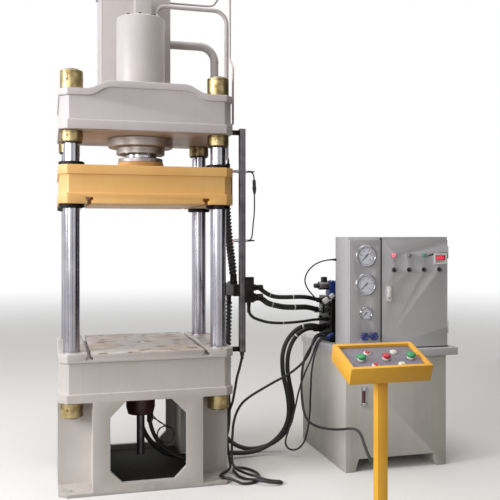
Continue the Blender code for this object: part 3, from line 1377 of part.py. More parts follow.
def make_tray(yellow, grey, colours):
    """The tilted tray, its button plate with bezels, and seven buttons."""
    carrier = empty("tray_axes", (TRAY_LEFT, TRAY_FRONT, TRAY_EDGE_HEIGHT), TRAY_TILT)
    tray = place(
        "button_tray",
        box((0, 0, -TRAY_THICKNESS), (TRAY_WIDTH, TRAY_LENGTH, 0)),
        yellow,
        carrier=carrier,
    )
    face = -TRAY_RECESS
    floor = face - BUTTON_PLATE - GAP
    rim = (TRAY_RIM, TRAY_RIM), (TRAY_WIDTH - TRAY_RIM, TRAY_LENGTH - TRAY_RIM)
    cut(tray, prism(rectangle(*rim), floor, OVERRUN))
    seat = (TRAY_RIM + GAP, TRAY_RIM + GAP), (TRAY_WIDTH - TRAY_RIM - GAP, TRAY_LENGTH - TRAY_RIM - GAP)
    plate = place("button_plate", prism(rectangle(*seat), face - BUTTON_PLATE, face), grey, carrier=carrier)
    bore = BUTTON_BORE_DIAMETER + 2 * RUNNING
    for name, ((x, y), kind) in BUTTON_PLACES.items():
        cut(tray, moved(rod(BUTTON_HOUSING_DIAMETER, floor - BUTTON_HOUSING_DEPTH, 0, FINE), (x, y, 0)))
        join(plate, moved(collar(BEZEL_DIAMETER, face - LAP / 2, face + BEZEL_HEIGHT, FINE), (x, y, 0)))
        cut(plate, moved(rod(bore, face - BUTTON_PLATE - OVERRUN, face + OVERRUN, FINE), (x, y, 0)))
        stem = BUTTON_BORE_DIAMETER / 2
        if kind == "flush":
            top = BUTTON_PROUD
            profile = [(0, -BUTTON_STEM_DEPTH), (stem, -BUTTON_STEM_DEPTH), (stem, top - LAP / 2), (stem - LAP / 2, top), (0, top)]
        else:
            head = (PALM_DIAMETER if kind == "palm" else STOP_DIAMETER) / 2
            profile = [
                (0, -BUTTON_STEM_DEPTH),
                (stem, -BUTTON_STEM_DEPTH),
                (stem, PALM_STEM),
                (head, PALM_STEM),
                (head, PALM_STEM + PALM_HEIGHT / 2),
                (head * 5 / 6, PALM_STEM + PALM_HEIGHT * 5 / 6),
                (head / 2, PALM_STEM + PALM_HEIGHT),
                (0, PALM_STEM + PALM_HEIGHT),
            ]
        place(name, turned(profile, FINE), colours[name], (x, y, face), carrier)


# Hoses and cables. Each route is a list of points, chosen by hand, from one end to the other.
CORD_SPACING = 3.0  # diameters between the points of a cord's centreline
MOST_CORD_POINTS = 52
CURVE_STEPS = 12
CORDS = {
    "supply_hose": (
        0.028,
        [
            (0.6483, -0.300, 1.150), (0.672, -0.300, 1.150), (0.738, -0.252, 1.115), (0.793, -0.203, 1.090),
            (0.850, -0.162, 1.077), (0.918, -0.120, 1.071), (1.013, -0.060, 1.066), (1.080, -0.012, 1.060),
            (1.136, 0.034, 1.050), (1.190, 0.079, 1.036), (1.245, 0.100, 1.028), (1.2697, 0.100, 1.028),
        ],
    ),
    "return_hose": (
        0.036,
        [
            (0.6483, -0.300, 1.090), (0.674, -0.300, 1.090), (0.768, -0.228, 1.044), (0.882, -0.140, 1.013),
            (0.960, -0.088, 1.002), (1.040, -0.034, 0.996), (1.110, 0.030, 0.988), (1.170, 0.092, 0.974),
            (1.240, 0.150, 0.958), (1.2697, 0.150, 0.958),
        ],
    ),
    "pilot_hose": (
        0.018,
        [
            (0.622, -0.300, 1.0597), (0.622, -0.300, 1.038), (0.628, -0.298, 0.994), (0.655, -0.285, 0.966),
            (0.701, -0.258, 0.946), (0.750, -0.224, 0.930), (0.796, -0.192, 0.919), (0.885, -0.132, 0.907),
            (0.982, -0.068, 0.901), (1.080, -0.005, 0.899), (1.150, 0.040, 0.900), (1.205, 0.064, 0.900),
            (1.252, 0.071, 0.900), (1.2697, 0.071, 0.900),
        ],
    ),
    "ejector_return_hose": (
        0.030,
        [
            (1.2697, 0.110, 0.845), (1.242, 0.110, 0.845), (1.170, 0.105, 0.857), (1.099, 0.100, 0.848),
            (1.048, 0.100, 0.818), (1.004, 0.100, 0.770), (0.978, 0.100, 0.720), (0.964, 0.100, 0.656),
            (0.964, 0.100, 0.585), (0.972, 0.100, 0.514), (0.990, 0.100, 0.440), (1.003, 0.100, 0.371),
            (1.009, 0.100, 0.300), (1.005, 0.100, 0.240), (0.986, 0.100, 0.182), (0.954, 0.100, 0.133),
            (0.910, 0.099, 0.092), (0.860, 0.097, 0.062), (0.800, 0.093, 0.040), (0.737, 0.088, 0.030),
            (0.670, 0.082, 0.031), (0.600, 0.076, 0.038), (0.530, 0.070, 0.043), (0.440, 0.064, 0.044),
            (0.340, 0.060, 0.045), (0.240, 0.057, 0.052), (0.160, 0.055, 0.080), (0.095, 0.055, 0.130),
            (0.042, 0.055, 0.200), (0.012, 0.055, 0.270), (0.000, 0.055, 0.332), (0.000, 0.055, 0.3574),
        ],
    ),
    "tank_return_hose": (
        0.030,
        [
            (1.2697, 0.165, 0.822), (1.242, 0.165, 0.822), (1.170, 0.160, 0.828), (1.105, 0.152, 0.802),
            (1.060, 0.150, 0.756), (1.030, 0.150, 0.695), (1.016, 0.150, 0.625), (1.016, 0.150, 0.550),
            (1.028, 0.150, 0.470), (1.044, 0.150, 0.395), (1.053, 0.150, 0.320), (1.050, 0.150, 0.250),
            (1.032, 0.150, 0.185), (1.000, 0.151, 0.130), (0.955, 0.154, 0.086), (0.900, 0.160, 0.053),
            (0.840, 0.170, 0.032), (0.780, 0.186, 0.021), (0.720, 0.208, 0.026), (0.665, 0.233, 0.048),
            (0.620, 0.255, 0.085), (0.585, 0.271, 0.135), (0.560, 0.282, 0.195), (0.544, 0.288, 0.260),
            (0.537, 0.290, 0.330), (0.536, 0.290, 0.392), (0.536, 0.290, 0.4197),
        ],
    ),
    "riser_hose": (
        0.036,
        [
            (0.553, 0.000, 1.9297), (0.553, 0.000, 1.898), (0.552, -0.008, 1.790), (0.550, -0.024, 1.680),
            (0.548, -0.050, 1.580), (0.546, -0.086, 1.490), (0.545, -0.128, 1.405), (0.544, -0.172, 1.330),
            (0.543, -0.212, 1.262), (0.542, -0.234, 1.198), (0.542, -0.234, 1.1703),
        ],
    ),
    "ejector_feed_hose": (
        0.026,
        [
            (0.543, -0.105, 1.0997), (0.543, -0.105, 1.070), (0.541, -0.104, 0.950), (0.539, -0.100, 0.850),
            (0.539, -0.094, 0.750), (0.541, -0.086, 0.640), (0.545, -0.078, 0.530), (0.550, -0.071, 0.420),
            (0.553, -0.066, 0.330), (0.549, -0.062, 0.250), (0.533, -0.059, 0.180), (0.502, -0.056, 0.124),
            (0.456, -0.053, 0.086), (0.396, -0.048, 0.064), (0.330, -0.040, 0.056), (0.264, -0.030, 0.062),
            (0.200, -0.018, 0.088), (0.142, -0.008, 0.134), (0.098, -0.002, 0.190), (0.070, 0.000, 0.252),
            (0.055, 0.000, 0.332), (0.055, 0.000, 0.3574),
        ],
    ),
    "signal_cable": (
        0.016,
        [
            (0.580, -0.300, 0.7597), (0.580, -0.300, 0.742), (0.567, -0.288, 0.660), (0.5555, -0.270, 0.600),
            (0.548, -0.246, 0.520), (0.541, -0.218, 0.444), (0.531, -0.184, 0.385), (0.524, -0.156, 0.325),
            (0.522, -0.146, 0.260), (0.523, -0.150, 0.190), (0.526, -0.170, 0.120), (0.527, -0.202, 0.066),
            (0.520, -0.238, 0.042), (0.492, -0.272, 0.034), (0.458, -0.300, 0.031), (0.437, -0.338, 0.031),
            (0.447, -0.379, 0.031), (0.480, -0.408, 0.0305), (0.510, -0.432, 0.021), (0.545, -0.448, 0.010),
            (0.580, -0.453, 0.009), (0.634, -0.430, 0.009), (0.671, -0.370, 0.010), (0.680, -0.300, 0.010),
            (0.664, -0.226, 0.010), (0.624, -0.166, 0.010), (0.577, -0.152, 0.012), (0.551, -0.196, 0.016),
            (0.549, -0.262, 0.014), (0.558, -0.330, 0.011), (0.588, -0.392, 0.014), (0.634, -0.462, 0.028),
            (0.688, -0.500, 0.022), (0.740, -0.512, 0.016), (0.772, -0.494, 0.010), (0.768, -0.464, 0.009),
            (0.730, -0.448, 0.010), (0.680, -0.438, 0.020), (0.637, -0.398, 0.030), (0.608, -0.350, 0.028),
            (0.585, -0.300, 0.028), (0.560, -0.252, 0.034), (0.541, -0.222, 0.056), (0.540, -0.200, 0.095),
            (0.545, -0.180, 0.150), (0.552, -0.166, 0.215), (0.563, -0.150, 0.288), (0.588, -0.132, 0.353),
            (0.631, -0.110, 0.405), (0.690, -0.082, 0.438), (0.760, -0.052, 0.465), (0.871, -0.010, 0.506),
            (0.985, 0.030, 0.546), (1.082, 0.060, 0.602), (1.138, 0.078, 0.658), (1.170, 0.090, 0.722),
            (1.194, 0.099, 0.774), (1.225, 0.104, 0.793), (1.252, 0.105, 0.793), (1.2697, 0.105, 0.793),
        ],
    ),
    "pedestal_cable": (
        0.016,
        [
            (1.2697, 0.070, 0.790), (1.252, 0.070, 0.790), (1.222, 0.068, 0.790), (1.194, 0.061, 0.778),
            (1.160, 0.046, 0.738), (1.120, 0.026, 0.690), (1.085, 0.008, 0.636), (1.064, -0.014, 0.570),
            (1.048, -0.050, 0.490), (1.034, -0.100, 0.405), (1.026, -0.160, 0.340), (1.028, -0.236, 0.298),
            (1.050, -0.330, 0.284), (1.092, -0.415, 0.286), (1.134, -0.490, 0.298), (1.154, -0.590, 0.326),
            (1.146, -0.700, 0.352), (1.120, -0.820, 0.370), (1.082, -0.950, 0.378), (1.034, -1.090, 0.382),
            (0.990, -1.220, 0.386), (0.952, -1.340, 0.389), (0.925, -1.460, 0.390), (0.925, -1.4807, 0.390),
        ],
    ),
    "slack_cable": (
        0.012,
        [
            (1.2697, 0.000, 0.776), (1.252, 0.000, 0.776), (1.222, 0.001, 0.776), (1.196, 0.004, 0.762),
            (1.184, 0.008, 0.735), (1.170, 0.014, 0.690), (1.150, 0.010, 0.625), (1.136, 0.004, 0.545),
            (1.130, 0.000, 0.454), (1.126, 0.000, 0.370), (1.124, 0.000, 0.298), (1.117, 0.000, 0.235),
            (1.107, 0.000, 0.175), (1.088, 0.000, 0.108), (1.058, 0.000, 0.066), (1.020, 0.002, 0.048),
            (0.982, 0.010, 0.054), (0.962, 0.024, 0.082), (0.968, 0.036, 0.118), (0.984, 0.041, 0.160),
            (1.006, 0.045, 0.220), (1.026, 0.045, 0.282), (1.042, 0.045, 0.345), (1.056, 0.045, 0.407),
            (1.077, 0.045, 0.475), (1.101, 0.045, 0.538), (1.130, 0.045, 0.600), (1.158, 0.046, 0.660),
            (1.178, 0.044, 0.715), (1.196, 0.038, 0.756), (1.222, 0.035, 0.777), (1.252, 0.035, 0.777),
            (1.2697, 0.035, 0.777),
        ],
    ),
    "sensor_cable": (
        0.008,
        [
            (0.6116, -0.300, 1.857), (0.620, -0.300, 1.857), (0.637, -0.300, 1.854), (0.650, -0.300, 1.841),
            (0.655, -0.300, 1.820), (0.656, -0.300, 1.780), (0.657, -0.300, 1.740), (0.658, -0.300, 1.690),
            (0.658, -0.300, 1.640), (0.656, -0.300, 1.595), (0.651, -0.300, 1.550), (0.647, -0.300, 1.510),
            (0.644, -0.300, 1.474), (0.636, -0.300, 1.447), (0.620, -0.300, 1.437), (0.6116, -0.300, 1.437),
        ],
    ),
}


def smooth_route(points, spacing):
    """Points at even steps along one smooth curve through the route, whose two end pieces are straight."""
    spots = [Vector(point) for point in points]
    times = [0.0]
    for before, after in zip(spots, spots[1:]):
        times.append(times[-1] + math.sqrt((after - before).length))
    slopes = []
    for i in range(1, len(spots) - 1):
        slopes.append((spots[i + 1] - spots[i - 1]) / (times[i + 1] - times[i - 1]))
    slopes[0] = (spots[1] - spots[0]).normalized() * slopes[0].length
    slopes[-1] = (spots[-1] - spots[-2]).normalized() * slopes[-1].length
    fine = [spots[1]]
    for i in range(len(slopes) - 1):
        span = times[i + 2] - times[i + 1]
        for step in range(1, CURVE_STEPS + 1):
            t = step / CURVE_STEPS
            fine.append(
                spots[i + 1] * (2 * t**3 - 3 * t**2 + 1)
                + slopes[i] * span * (t**3 - 2 * t**2 + t)
                + spots[i + 2] * (3 * t**2 - 2 * t**3)
                + slopes[i + 1] * span * (t**3 - t**2)
            )
    reached = [0.0]
    for before, after in zip(fine, fine[1:]):
        reached.append(reached[-1] + (after - before).length)
    count = min(MOST_CORD_POINTS - 2, math.ceil(reached[-1] / spacing) + 1)
    route = [spots[0]]
    i = 0
    for step in range(count):
        goal = reached[-1] * step / (count - 1)
        while i < len(fine) - 2 and reached[i + 1] < goal:
            i += 1
        share = (goal - reached[i]) / (reached[i + 1] - reached[i])
        route.append(fine[i].lerp(fine[i + 1], share))
    return [*route, spots[-1]]


def make_cords(look):
    for name, (diameter, points) in CORDS.items():
        curve = bpy.data.curves.new(name, "CURVE")
        curve.dimensions = "3D"
        curve.bevel_depth = diameter / 2
        curve.bevel_resolution = 2
        curve.use_fill_caps = True
        route = smooth_route(points, CORD_SPACING * diameter)
        spline = curve.splines.new("POLY")
        spline.points.add(len(route) - 1)
        for spot, at in zip(spline.points, route):
            spot.co = (*at, 1)
        curve.materials.append(look)
        bpy.context.scene.collection.objects.link(bpy.data.objects.new(name, curve))


def main():
    clear_scene()
    off_white = finish("off-white machine paint", "#D6D1C8", 0.45)
    yellow = finish("golden yellow machine paint", "#E8AE4E", 0.45)
    pedestal_yellow = finish("bright yellow powder coat", "#F0B840", 0.4)
    grey = finish("pale grey powder coat", "#BDBCB8", 0.5)
    dial_chrome = finish("polished chrome", "#D8D8DA", 0.15, 1.0)
    column_chrome = finish("hard chrome", "#C9C9CC", 0.12, 1.0)
    steel = finish("turned steel", "#8E8B86", 0.4, 1.0)
    dark = finish("blackened steel", "#2B2A2A", 0.5, 0.6)
    oxide = finish("dark oxide red paint", "#4A2323", 0.6)
    rubber = finish("black hose rubber", "#1B1A1A", 0.7)
    blue = finish("blue plastic", "#1C3C8C", 0.35)
    black = finish("black plastic", "#161616", 0.4)
    plate = finish("grey button plate", "#9A9AA0", 0.45)
    green = finish("green plastic", "#2F9A5C", 0.35)
    red = finish("red plastic", "#C8283A", 0.35)
    cream = finish("cream plastic", "#E6DFC4", 0.4)

    make_base(off_white)
    make_columns(column_chrome)
    make_slide(yellow)
    make_crown(off_white)
    make_cylinder(off_white, steel, column_chrome)
    make_filling_tank(off_white, grey)
    make_pipes(off_white, grey)
    make_ejector(oxide, dark)
    make_switch_post(steel)
    make_oil_tank(grey)
    make_cabinet(grey)
    make_door(grey, dial_chrome)
    make_gauges(dial_chrome, black)
    make_knobs(blue)
    make_selectors(black)
    make_lid_equipment(dark, grey)
    make_pedestal(pedestal_yellow)
    make_tray(
        pedestal_yellow,
        plate,
        {
            "palm_button_left": green,
            "palm_button_right": green,
            "emergency_stop": red,
            "rear_button_left": red,
            "rear_button_right": cream,
            "front_button_left": red,
            "front_button_right": cream,
        },
    )
    make_cords(rubber)


main()
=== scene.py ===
"""How the hydraulic press looks: its camera, light, finishes and detailed pieces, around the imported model."""

import math

import bmesh
import bpy
from mathutils import Matrix, Vector


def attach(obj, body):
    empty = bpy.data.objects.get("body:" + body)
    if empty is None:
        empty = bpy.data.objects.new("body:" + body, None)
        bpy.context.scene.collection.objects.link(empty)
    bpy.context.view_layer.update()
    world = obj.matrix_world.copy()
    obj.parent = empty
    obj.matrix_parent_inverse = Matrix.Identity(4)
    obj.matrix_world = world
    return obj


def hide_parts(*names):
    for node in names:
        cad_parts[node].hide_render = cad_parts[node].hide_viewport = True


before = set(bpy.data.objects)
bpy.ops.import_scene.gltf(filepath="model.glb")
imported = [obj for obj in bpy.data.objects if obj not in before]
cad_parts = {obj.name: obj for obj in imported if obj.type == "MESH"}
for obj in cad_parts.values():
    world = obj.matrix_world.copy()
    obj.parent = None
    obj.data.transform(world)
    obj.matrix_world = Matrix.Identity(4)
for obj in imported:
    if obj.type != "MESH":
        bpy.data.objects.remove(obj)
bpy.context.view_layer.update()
bpy.ops.object.select_all(action="DESELECT")

MM = 0.001
SMOOTH_BELOW = math.radians(34)  # flatter edges than this are shaded smooth

# Places that several pieces share, in metres
COLUMN_X, COLUMN_Y = 0.43, 0.3
TABLE_UNDERSIDE, TABLE_FACE = 0.525, 0.7985
SLIDE_BOTTOM, SLIDE_TOP = 1.649, 1.868
CROWN_TOP, CYLINDER_TOP = 2.349, 2.8203
TANK_SIDE = 0.2143  # where pipes leave the filling tank
RETURN_X, RETURN_Y, RETURN_Z = 0.536, 0.29, 2.75  # the return line's drop and the height of its bend
RISER_X, RISER_Z = 0.553, 2.915  # the same of the pressure line
UNIT_FRONT, UNIT_TOP, LID_TOP = -0.4, 0.705, 0.7523
ON_LID = 0.7526  # the feet of the manifold and the motor
CABINET_FRONT = -0.385
POST_X, POST_Y = 0.58, -0.3
POST_FOOT, POST_HEAD = 0.76, 2.116
STAND_X, STAND_Y = 0.925, -1.526
TRAY_WIDTH, TRAY_DEPTH, TRAY_RIM = 0.402, 0.2388, 0.0203

# The edges of the cast blocks that are rounded more than the rest
OUTSIDE_X, OUTSIDE_Y = 0.45, 0.38  # an edge beyond these is on the outside
SLOT_X, SLOT_REACH = 0.335, 0.024  # a T-slot's middle, and how far its edges lie from it
BAND_ROUNDING = 4.3 * MM


# Camera and light


EYE = (-0.555, -4.709, 1.471)
AHEAD = (0.2595, 0.9657)  # the direction of view over the floor
LENS, SENSOR, RISE = 53.86, 36, -0.03


def set_camera():
    """Stands where the photograph was taken from, looking level."""
    bpy.ops.object.camera_add(location=EYE, rotation=(math.radians(90), 0, -math.atan2(*AHEAD)))
    camera = bpy.context.object
    camera.data.lens = LENS
    camera.data.sensor_width = SENSOR
    camera.data.shift_y = RISE
    bpy.context.scene.camera = camera


def add_lamp(name, place, target, size, power, tint):
    bpy.ops.object.light_add(type="AREA", location=place)
    lamp = bpy.context.object
    lamp.name = name
    lamp.rotation_euler = (Vector(target) - Vector(place)).to_track_quat("-Z", "Y").to_euler()
    lamp.data.shape = "DISK"
    lamp.data.size = size
    lamp.data.energy = power
    lamp.data.color = colour(tint)[:3]


def set_light():
    """Soft studio light, mostly from above and from the operator's left."""
    add_lamp("roof_light", (0.3, -0.6, 9.0), (0.5, 0.0, 0.5), 7.0, 400, "#FFFDF8")
    add_lamp("left_light", (-5.2, -1.6, 3.2), (0.4, 0.0, 1.0), 3.0, 290, "#FAF8FF")
    add_lamp("fore_light", (-3.6, -4.9, 2.6), (1.0, 0.0, 0.7), 3.0, 105, "#FFFFFF")


def add_flag(name, place, target, width, height):
    """A dark flag beside the set that only shiny surfaces see, which gives chrome its dark edges."""
    bpy.ops.mesh.primitive_plane_add(size=1, location=place)
    flag = bpy.context.object
    flag.name = name
    flag.rotation_euler = (Vector(target) - Vector(place)).to_track_quat("Z", "Y").to_euler()
    flag.scale = (width, height, 1)
    flag.data.materials.append(FLAG_CLOTH)
    flag.visible_camera = flag.visible_diffuse = flag.visible_shadow = flag.visible_transmission = False


def set_flags():
    add_flag("right_flag", (4.6, -0.6, 1.6), (0.0, -0.6, 1.6), 7.5, 5.0)
    add_flag("narrow_flag", (-3.7, -3.4, 1.8), (0.0, 0.0, 1.8), 0.45, 4.6)
    add_flag("centre_flag", (0.9, -6.6, 1.8), (0.4, 0.0, 1.8), 0.55, 4.6)


def set_background():
    """A white studio for what the camera, metal and glass see, and an even soft light for the rest."""
    world = bpy.data.worlds.new("studio")
    bpy.context.scene.world = world
    world.use_nodes = True
    tree = world.node_tree
    tree.nodes.clear()
    seen = seen_directly(tree)
    soft = add_node(tree, "ShaderNodeBackground", {"Color": colour("#F6F5FA"), "Strength": 0.25})
    white = add_node(tree, "ShaderNodeBackground", {"Color": (1, 1, 1, 1), "Strength": 1.0})
    both = add_node(tree, "ShaderNodeMixShader", {0: seen, 1: soft.outputs[0], 2: white.outputs[0]})
    add_node(tree, "ShaderNodeOutputWorld", {"Surface": both.outputs[0]})


def set_floor():
    """A pale floor that goes over into the white background behind the object."""
    bpy.ops.mesh.primitive_plane_add(size=80, location=(0.8, 0, -0.0004))
    floor = bpy.context.object
    floor.name = "studio_floor"
    made = bpy.data.materials.new("pale studio floor")
    made.use_nodes = True
    tree = made.node_tree
    tree.nodes.clear()
    place = add_node(tree, "ShaderNodeTexCoord").outputs["Object"]
    away = add_node(tree, "ShaderNodeVectorMath", {0: place}, operation="LENGTH").outputs["Value"]
    fade = add_node(
        tree, "ShaderNodeMapRange", {"Value": away, "From Min": 2.5, "From Max": 17.0}, interpolation_type="SMOOTHSTEP"
    )
    direct = seen_directly(tree)
    share = add_node(tree, "ShaderNodeMath", {0: fade.outputs[0], 1: direct}, operation="MULTIPLY")
    tone = layer(tree, direct, colour("#8C8B88"), colour("#ECEBE8"))
    matt = add_node(tree, "ShaderNodeBsdfPrincipled", {"Base Color": tone, "Roughness": 0.7})
    white = add_node(tree, "ShaderNodeEmission", {"Color": (1, 1, 1, 1), "Strength": 1.0})
    both = add_node(tree, "ShaderNodeMixShader", {0: share.outputs[0], 1: matt.outputs[0], 2: white.outputs[0]})
    add_node(tree, "ShaderNodeOutputMaterial", {"Surface": both.outputs[0]})
    floor.data.materials.append(made)


# Node tools


def colour(code):
    """The linear colour of an sRGB hex value."""
    parts = [int(code[i : i + 2], 16) / 255 for i in (1, 3, 5)]
    return (*[p / 12.92 if p <= 0.04045 else ((p + 0.055) / 1.055) ** 2.4 for p in parts], 1)


def add_node(tree, kind, sockets=None, **settings):
    """Adds one node with its settings; sockets gives values, or other nodes' outputs, for its inputs."""
    made = tree.nodes.new(kind)
    for key, value in settings.items():
        setattr(made, key, value)
    for key, value in (sockets or {}).items():
        if isinstance(value, bpy.types.NodeSocket):
            tree.links.new(value, made.inputs[key])
        else:
            made.inputs[key].default_value = value
    return made


def seen_directly(tree):
    """1 where a ray comes from the camera, a mirror-like reflection or glass."""
    rays = add_node(tree, "ShaderNodeLightPath").outputs
    some = add_node(tree, "ShaderNodeMath", {0: rays["Is Camera Ray"], 1: rays["Is Glossy Ray"]}, operation="MAXIMUM")
    return add_node(
        tree, "ShaderNodeMath", {0: some.outputs[0], 1: rays["Is Transmission Ray"]}, operation="MAXIMUM"
    ).outputs[0]


MIX_A, MIX_B, MIXED = 6, 7, 2  # a colour mix's two inputs and its output


def start_finish(name, slot, **sockets):
    """A new material: its shader with constants on its own sockets, and the piece's coordinates."""
    made = bpy.data.materials.new(name)
    made.use_nodes = True
    tree = made.node_tree
    tree.nodes.clear()
    values = {key.replace("_", " "): value for key, value in sockets.items()}
    shader = add_node(tree, "ShaderNodeBsdfPrincipled", values)
    add_node(tree, "ShaderNodeOutputMaterial", {"Surface": shader.outputs[0]})
    place = add_node(tree, "ShaderNodeTexCoord").outputs["Object"]
    return made, tree, shader, place


def patches(tree, place, size, low, high, to=(0.0, 1.0), detail=3.0, stretch=(1, 1, 1)):
    """Irregular patches of a size in metres: to[0] below the low share of the noise, to[1] above the high one."""
    along = add_node(tree, "ShaderNodeMapping", {"Vector": place, "Scale": [s / size for s in stretch]})
    noise = add_node(tree, "ShaderNodeTexNoise", {"Vector": along.outputs[0], "Scale": 1.0, "Detail": detail})
    values = {"Value": noise.outputs[0], "From Min": low, "From Max": high, "To Min": to[0], "To Max": to[1]}
    return add_node(tree, "ShaderNodeMapRange", values).outputs[0]


def layer(tree, share, below, above):
    """One colour over another."""
    return add_node(tree, "ShaderNodeMix", {0: share, MIX_A: below, MIX_B: above}, data_type="RGBA").outputs[MIXED]


def within(tree, axis_value, low, high, soft):
    """1 where a coordinate lies between two heights, falling off over a soft edge."""
    rise = add_node(tree, "ShaderNodeMapRange", {"Value": axis_value, "From Min": low - soft, "From Max": low})
    fall = add_node(tree, "ShaderNodeMapRange", {"Value": axis_value, "From Min": high + soft, "From Max": high})
    return add_node(tree, "ShaderNodeMath", {0: rise.outputs[0], 1: fall.outputs[0]}, operation="MULTIPLY").outputs[0]


def product(tree, *shares):
    whole = shares[0]
    for share in shares[1:]:
        whole = add_node(tree, "ShaderNodeMath", {0: whole, 1: share}, operation="MULTIPLY").outputs[0]
    return whole


def roughen(tree, shader, place, size, strength, depth, stretch=(1, 1, 1)):
    """Gives the surface a fine relief of a grain size in metres."""
    along = add_node(tree, "ShaderNodeMapping", {"Vector": place, "Scale": [s / size for s in stretch]})
    grain = add_node(tree, "ShaderNodeTexNoise", {"Vector": along.outputs[0], "Scale": 1.0, "Detail": 2.0})
    bump = add_node(tree, "ShaderNodeBump", {"Height": grain.outputs[0], "Strength": strength, "Distance": depth})
    tree.links.new(bump.outputs[0], shader.inputs["Normal"])


# Finishes


def enamel(name, slot, base, shade, dirt, roughness, grime=0.25, dust=0.35, oily_and_floor_shade=False):
    """Sprayed machine enamel: slow changes of tone, grime in faint vertical runs, dust low down, orange peel.

    An oily one adds the brown oil film on the table top, and paints the floor of the base near black as painted shade.
    """
    made, tree, shader, place = start_finish(name, slot, IOR=1.5, Specular_IOR_Level=0.42)
    tone = layer(tree, patches(tree, place, 0.38, 0.38, 0.64), colour(base), colour(shade))
    runs = patches(tree, place, 0.045, 0.52, 0.8, (0, grime), 5.0, (1, 1, 0.09))
    tone = layer(tree, runs, tone, colour(dirt))
    specks = patches(tree, place, 0.007, 0.66, 0.74, (0, 0.35 * grime), 2.0)
    tone = layer(tree, specks, tone, colour(dirt))
    apart = add_node(tree, "ShaderNodeSeparateXYZ", {0: place}).outputs
    if dust:
        low = within(tree, apart["Z"], -1.0, 0.015, 0.11)
        blown = patches(tree, place, 0.06, 0.3, 0.7, (0.15 * dust, dust), 4.0)
        tone = layer(tree, product(tree, low, blown), tone, colour("#8E877B"))
    if oily_and_floor_shade:
        top = within(tree, apart["Z"], TABLE_FACE, 0.9, 0.001)
        middle = within(tree, apart["X"], -0.3, 0.26, 0.14)
        beside = within(tree, apart["X"], 0.36, 0.5, 0.03)
        for part, size, low, high, most, detail, stain in (
            (middle, 0.26, 0.46, 0.66, 0.75, 5.0, "#B08A5E"),
            (middle, 0.09, 0.54, 0.66, 0.85, 6.0, "#6E4722"),
            (beside, 0.05, 0.5, 0.62, 0.8, 5.0, "#7B4A2A"),
        ):
            film = patches(tree, place, size, low, high, (0, most), detail)
            tone = layer(tree, product(tree, top, part, film), tone, colour(stain))
        # Painted shade: the floor inside the base is painted near black where it lies in shadow.
        across = within(tree, apart["X"], -0.28, 0.28, 0.01)
        deep = within(tree, apart["Y"], -0.38, 0.38, 0.004)
        low = within(tree, apart["Z"], -1.0, 0.022, 0.03)
        floor_shade = patches(tree, place, 0.12, 0.2, 0.45, (0.86, 1.0), 4.0)
        tone = layer(tree, product(tree, low, across, deep, floor_shade), tone, colour("#0F0D0B"))
    tree.links.new(tone, shader.inputs["Base Color"])
    gloss = patches(tree, place, 0.12, 0.3, 0.7, (roughness - 0.05, roughness + 0.08), 4.0)
    tree.links.new(gloss, shader.inputs["Roughness"])
    roughen(tree, shader, place, 4 * MM, 0.1, 0.4 * MM)
    return made


def bare_metal(name, slot, base, tarnish, roughness, lines=None, spots=0.0, blotch=0.1, grain=1.2):
    """Bare or plated metal: tool lines along one axis, blotches of tarnish and a change of gloss with them."""
    made, tree, shader, place = start_finish(name, slot, Metallic=1.0)
    cloud = patches(tree, place, blotch, 0.4, 0.66, (0, 1), 4.0)
    tone = layer(tree, cloud, colour(base), colour(tarnish))
    if spots:
        tone = layer(tree, patches(tree, place, 0.01, 0.6, 0.72, (0, spots), 4.0), tone, colour(tarnish))
    tree.links.new(tone, shader.inputs["Base Color"])
    stretch = lines or (1, 1, 1)
    streak = patches(tree, place, grain * MM, 0.3, 0.7, (roughness * 0.75, roughness * 1.35), 2.0, stretch)
    tree.links.new(streak, shader.inputs["Roughness"])
    roughen(tree, shader, place, grain * MM, 0.05, 0.05 * MM, stretch)
    return made


def moulded(name, slot, base, shade, roughness, texture=0.8, relief=0.06, dust=0.0, **sockets):
    """A moulded plastic or rubber: fine mould texture, a little handling gloss, and dust where given."""
    made, tree, shader, place = start_finish(name, slot, IOR=1.49, **sockets)
    tone = layer(tree, patches(tree, place, 0.03, 0.35, 0.65, (0, 1), 4.0), colour(base), colour(shade))
    if dust:
        tone = layer(tree, patches(tree, place, 0.05, 0.45, 0.75, (0, dust), 6.0), tone, colour("#8B857A"))
    tree.links.new(tone, shader.inputs["Base Color"])
    worn = patches(tree, place, 0.015, 0.3, 0.7, (roughness - 0.05, roughness + 0.07), 3.0)
    tree.links.new(worn, shader.inputs["Roughness"])
    roughen(tree, shader, place, texture * MM, relief, 0.15 * MM)
    return made


def glowing(name, slot, base, light, strength):
    """A lit lens or display: coloured plastic with its own light."""
    made, tree, shader, place = start_finish(name, slot, IOR=1.49, Roughness=0.18, Emission_Strength=strength)
    tone = layer(tree, patches(tree, place, 0.006, 0.4, 0.6), colour(base), colour(light))
    tree.links.new(tone, shader.inputs["Base Color"])
    tree.links.new(tone, shader.inputs["Emission Color"])
    return made


def clear(name, slot, tint, roughness):
    """A thin clear window: mostly see-through, with a faint even veil and its own gloss."""
    made, tree, shader, place = start_finish(name, slot, IOR=1.46, Alpha=0.05)
    tone = layer(tree, patches(tree, place, 0.02, 0.4, 0.7, (0, 1)), colour(tint), colour("#FFFFFF"))
    tree.links.new(tone, shader.inputs["Base Color"])
    smear = patches(tree, place, 0.02, 0.4, 0.7, (roughness, roughness + 0.05), 4.0)
    tree.links.new(smear, shader.inputs["Roughness"])
    return made


# Semi-gloss alkyd enamel on the welded frame: warm off-white, soft highlights, grey runs of shop dirt, brown oil stains
# on the table top and painted near-black shade on the floor of the base.
FRAME_PAINT = enamel("off-white machine enamel", "machine_paint", "#C9C3BC", "#C2BCB5", "#8C8377", 0.42, 0.1, oily_and_floor_shade=True)
# The same enamel on the crown, clean and a little warmer.
CROWN_PAINT = enamel("off-white crown enamel", "machine_paint", "#CDC5C2", "#C6BEBC", "#8C8377", 0.42, 0.06, 0.0)
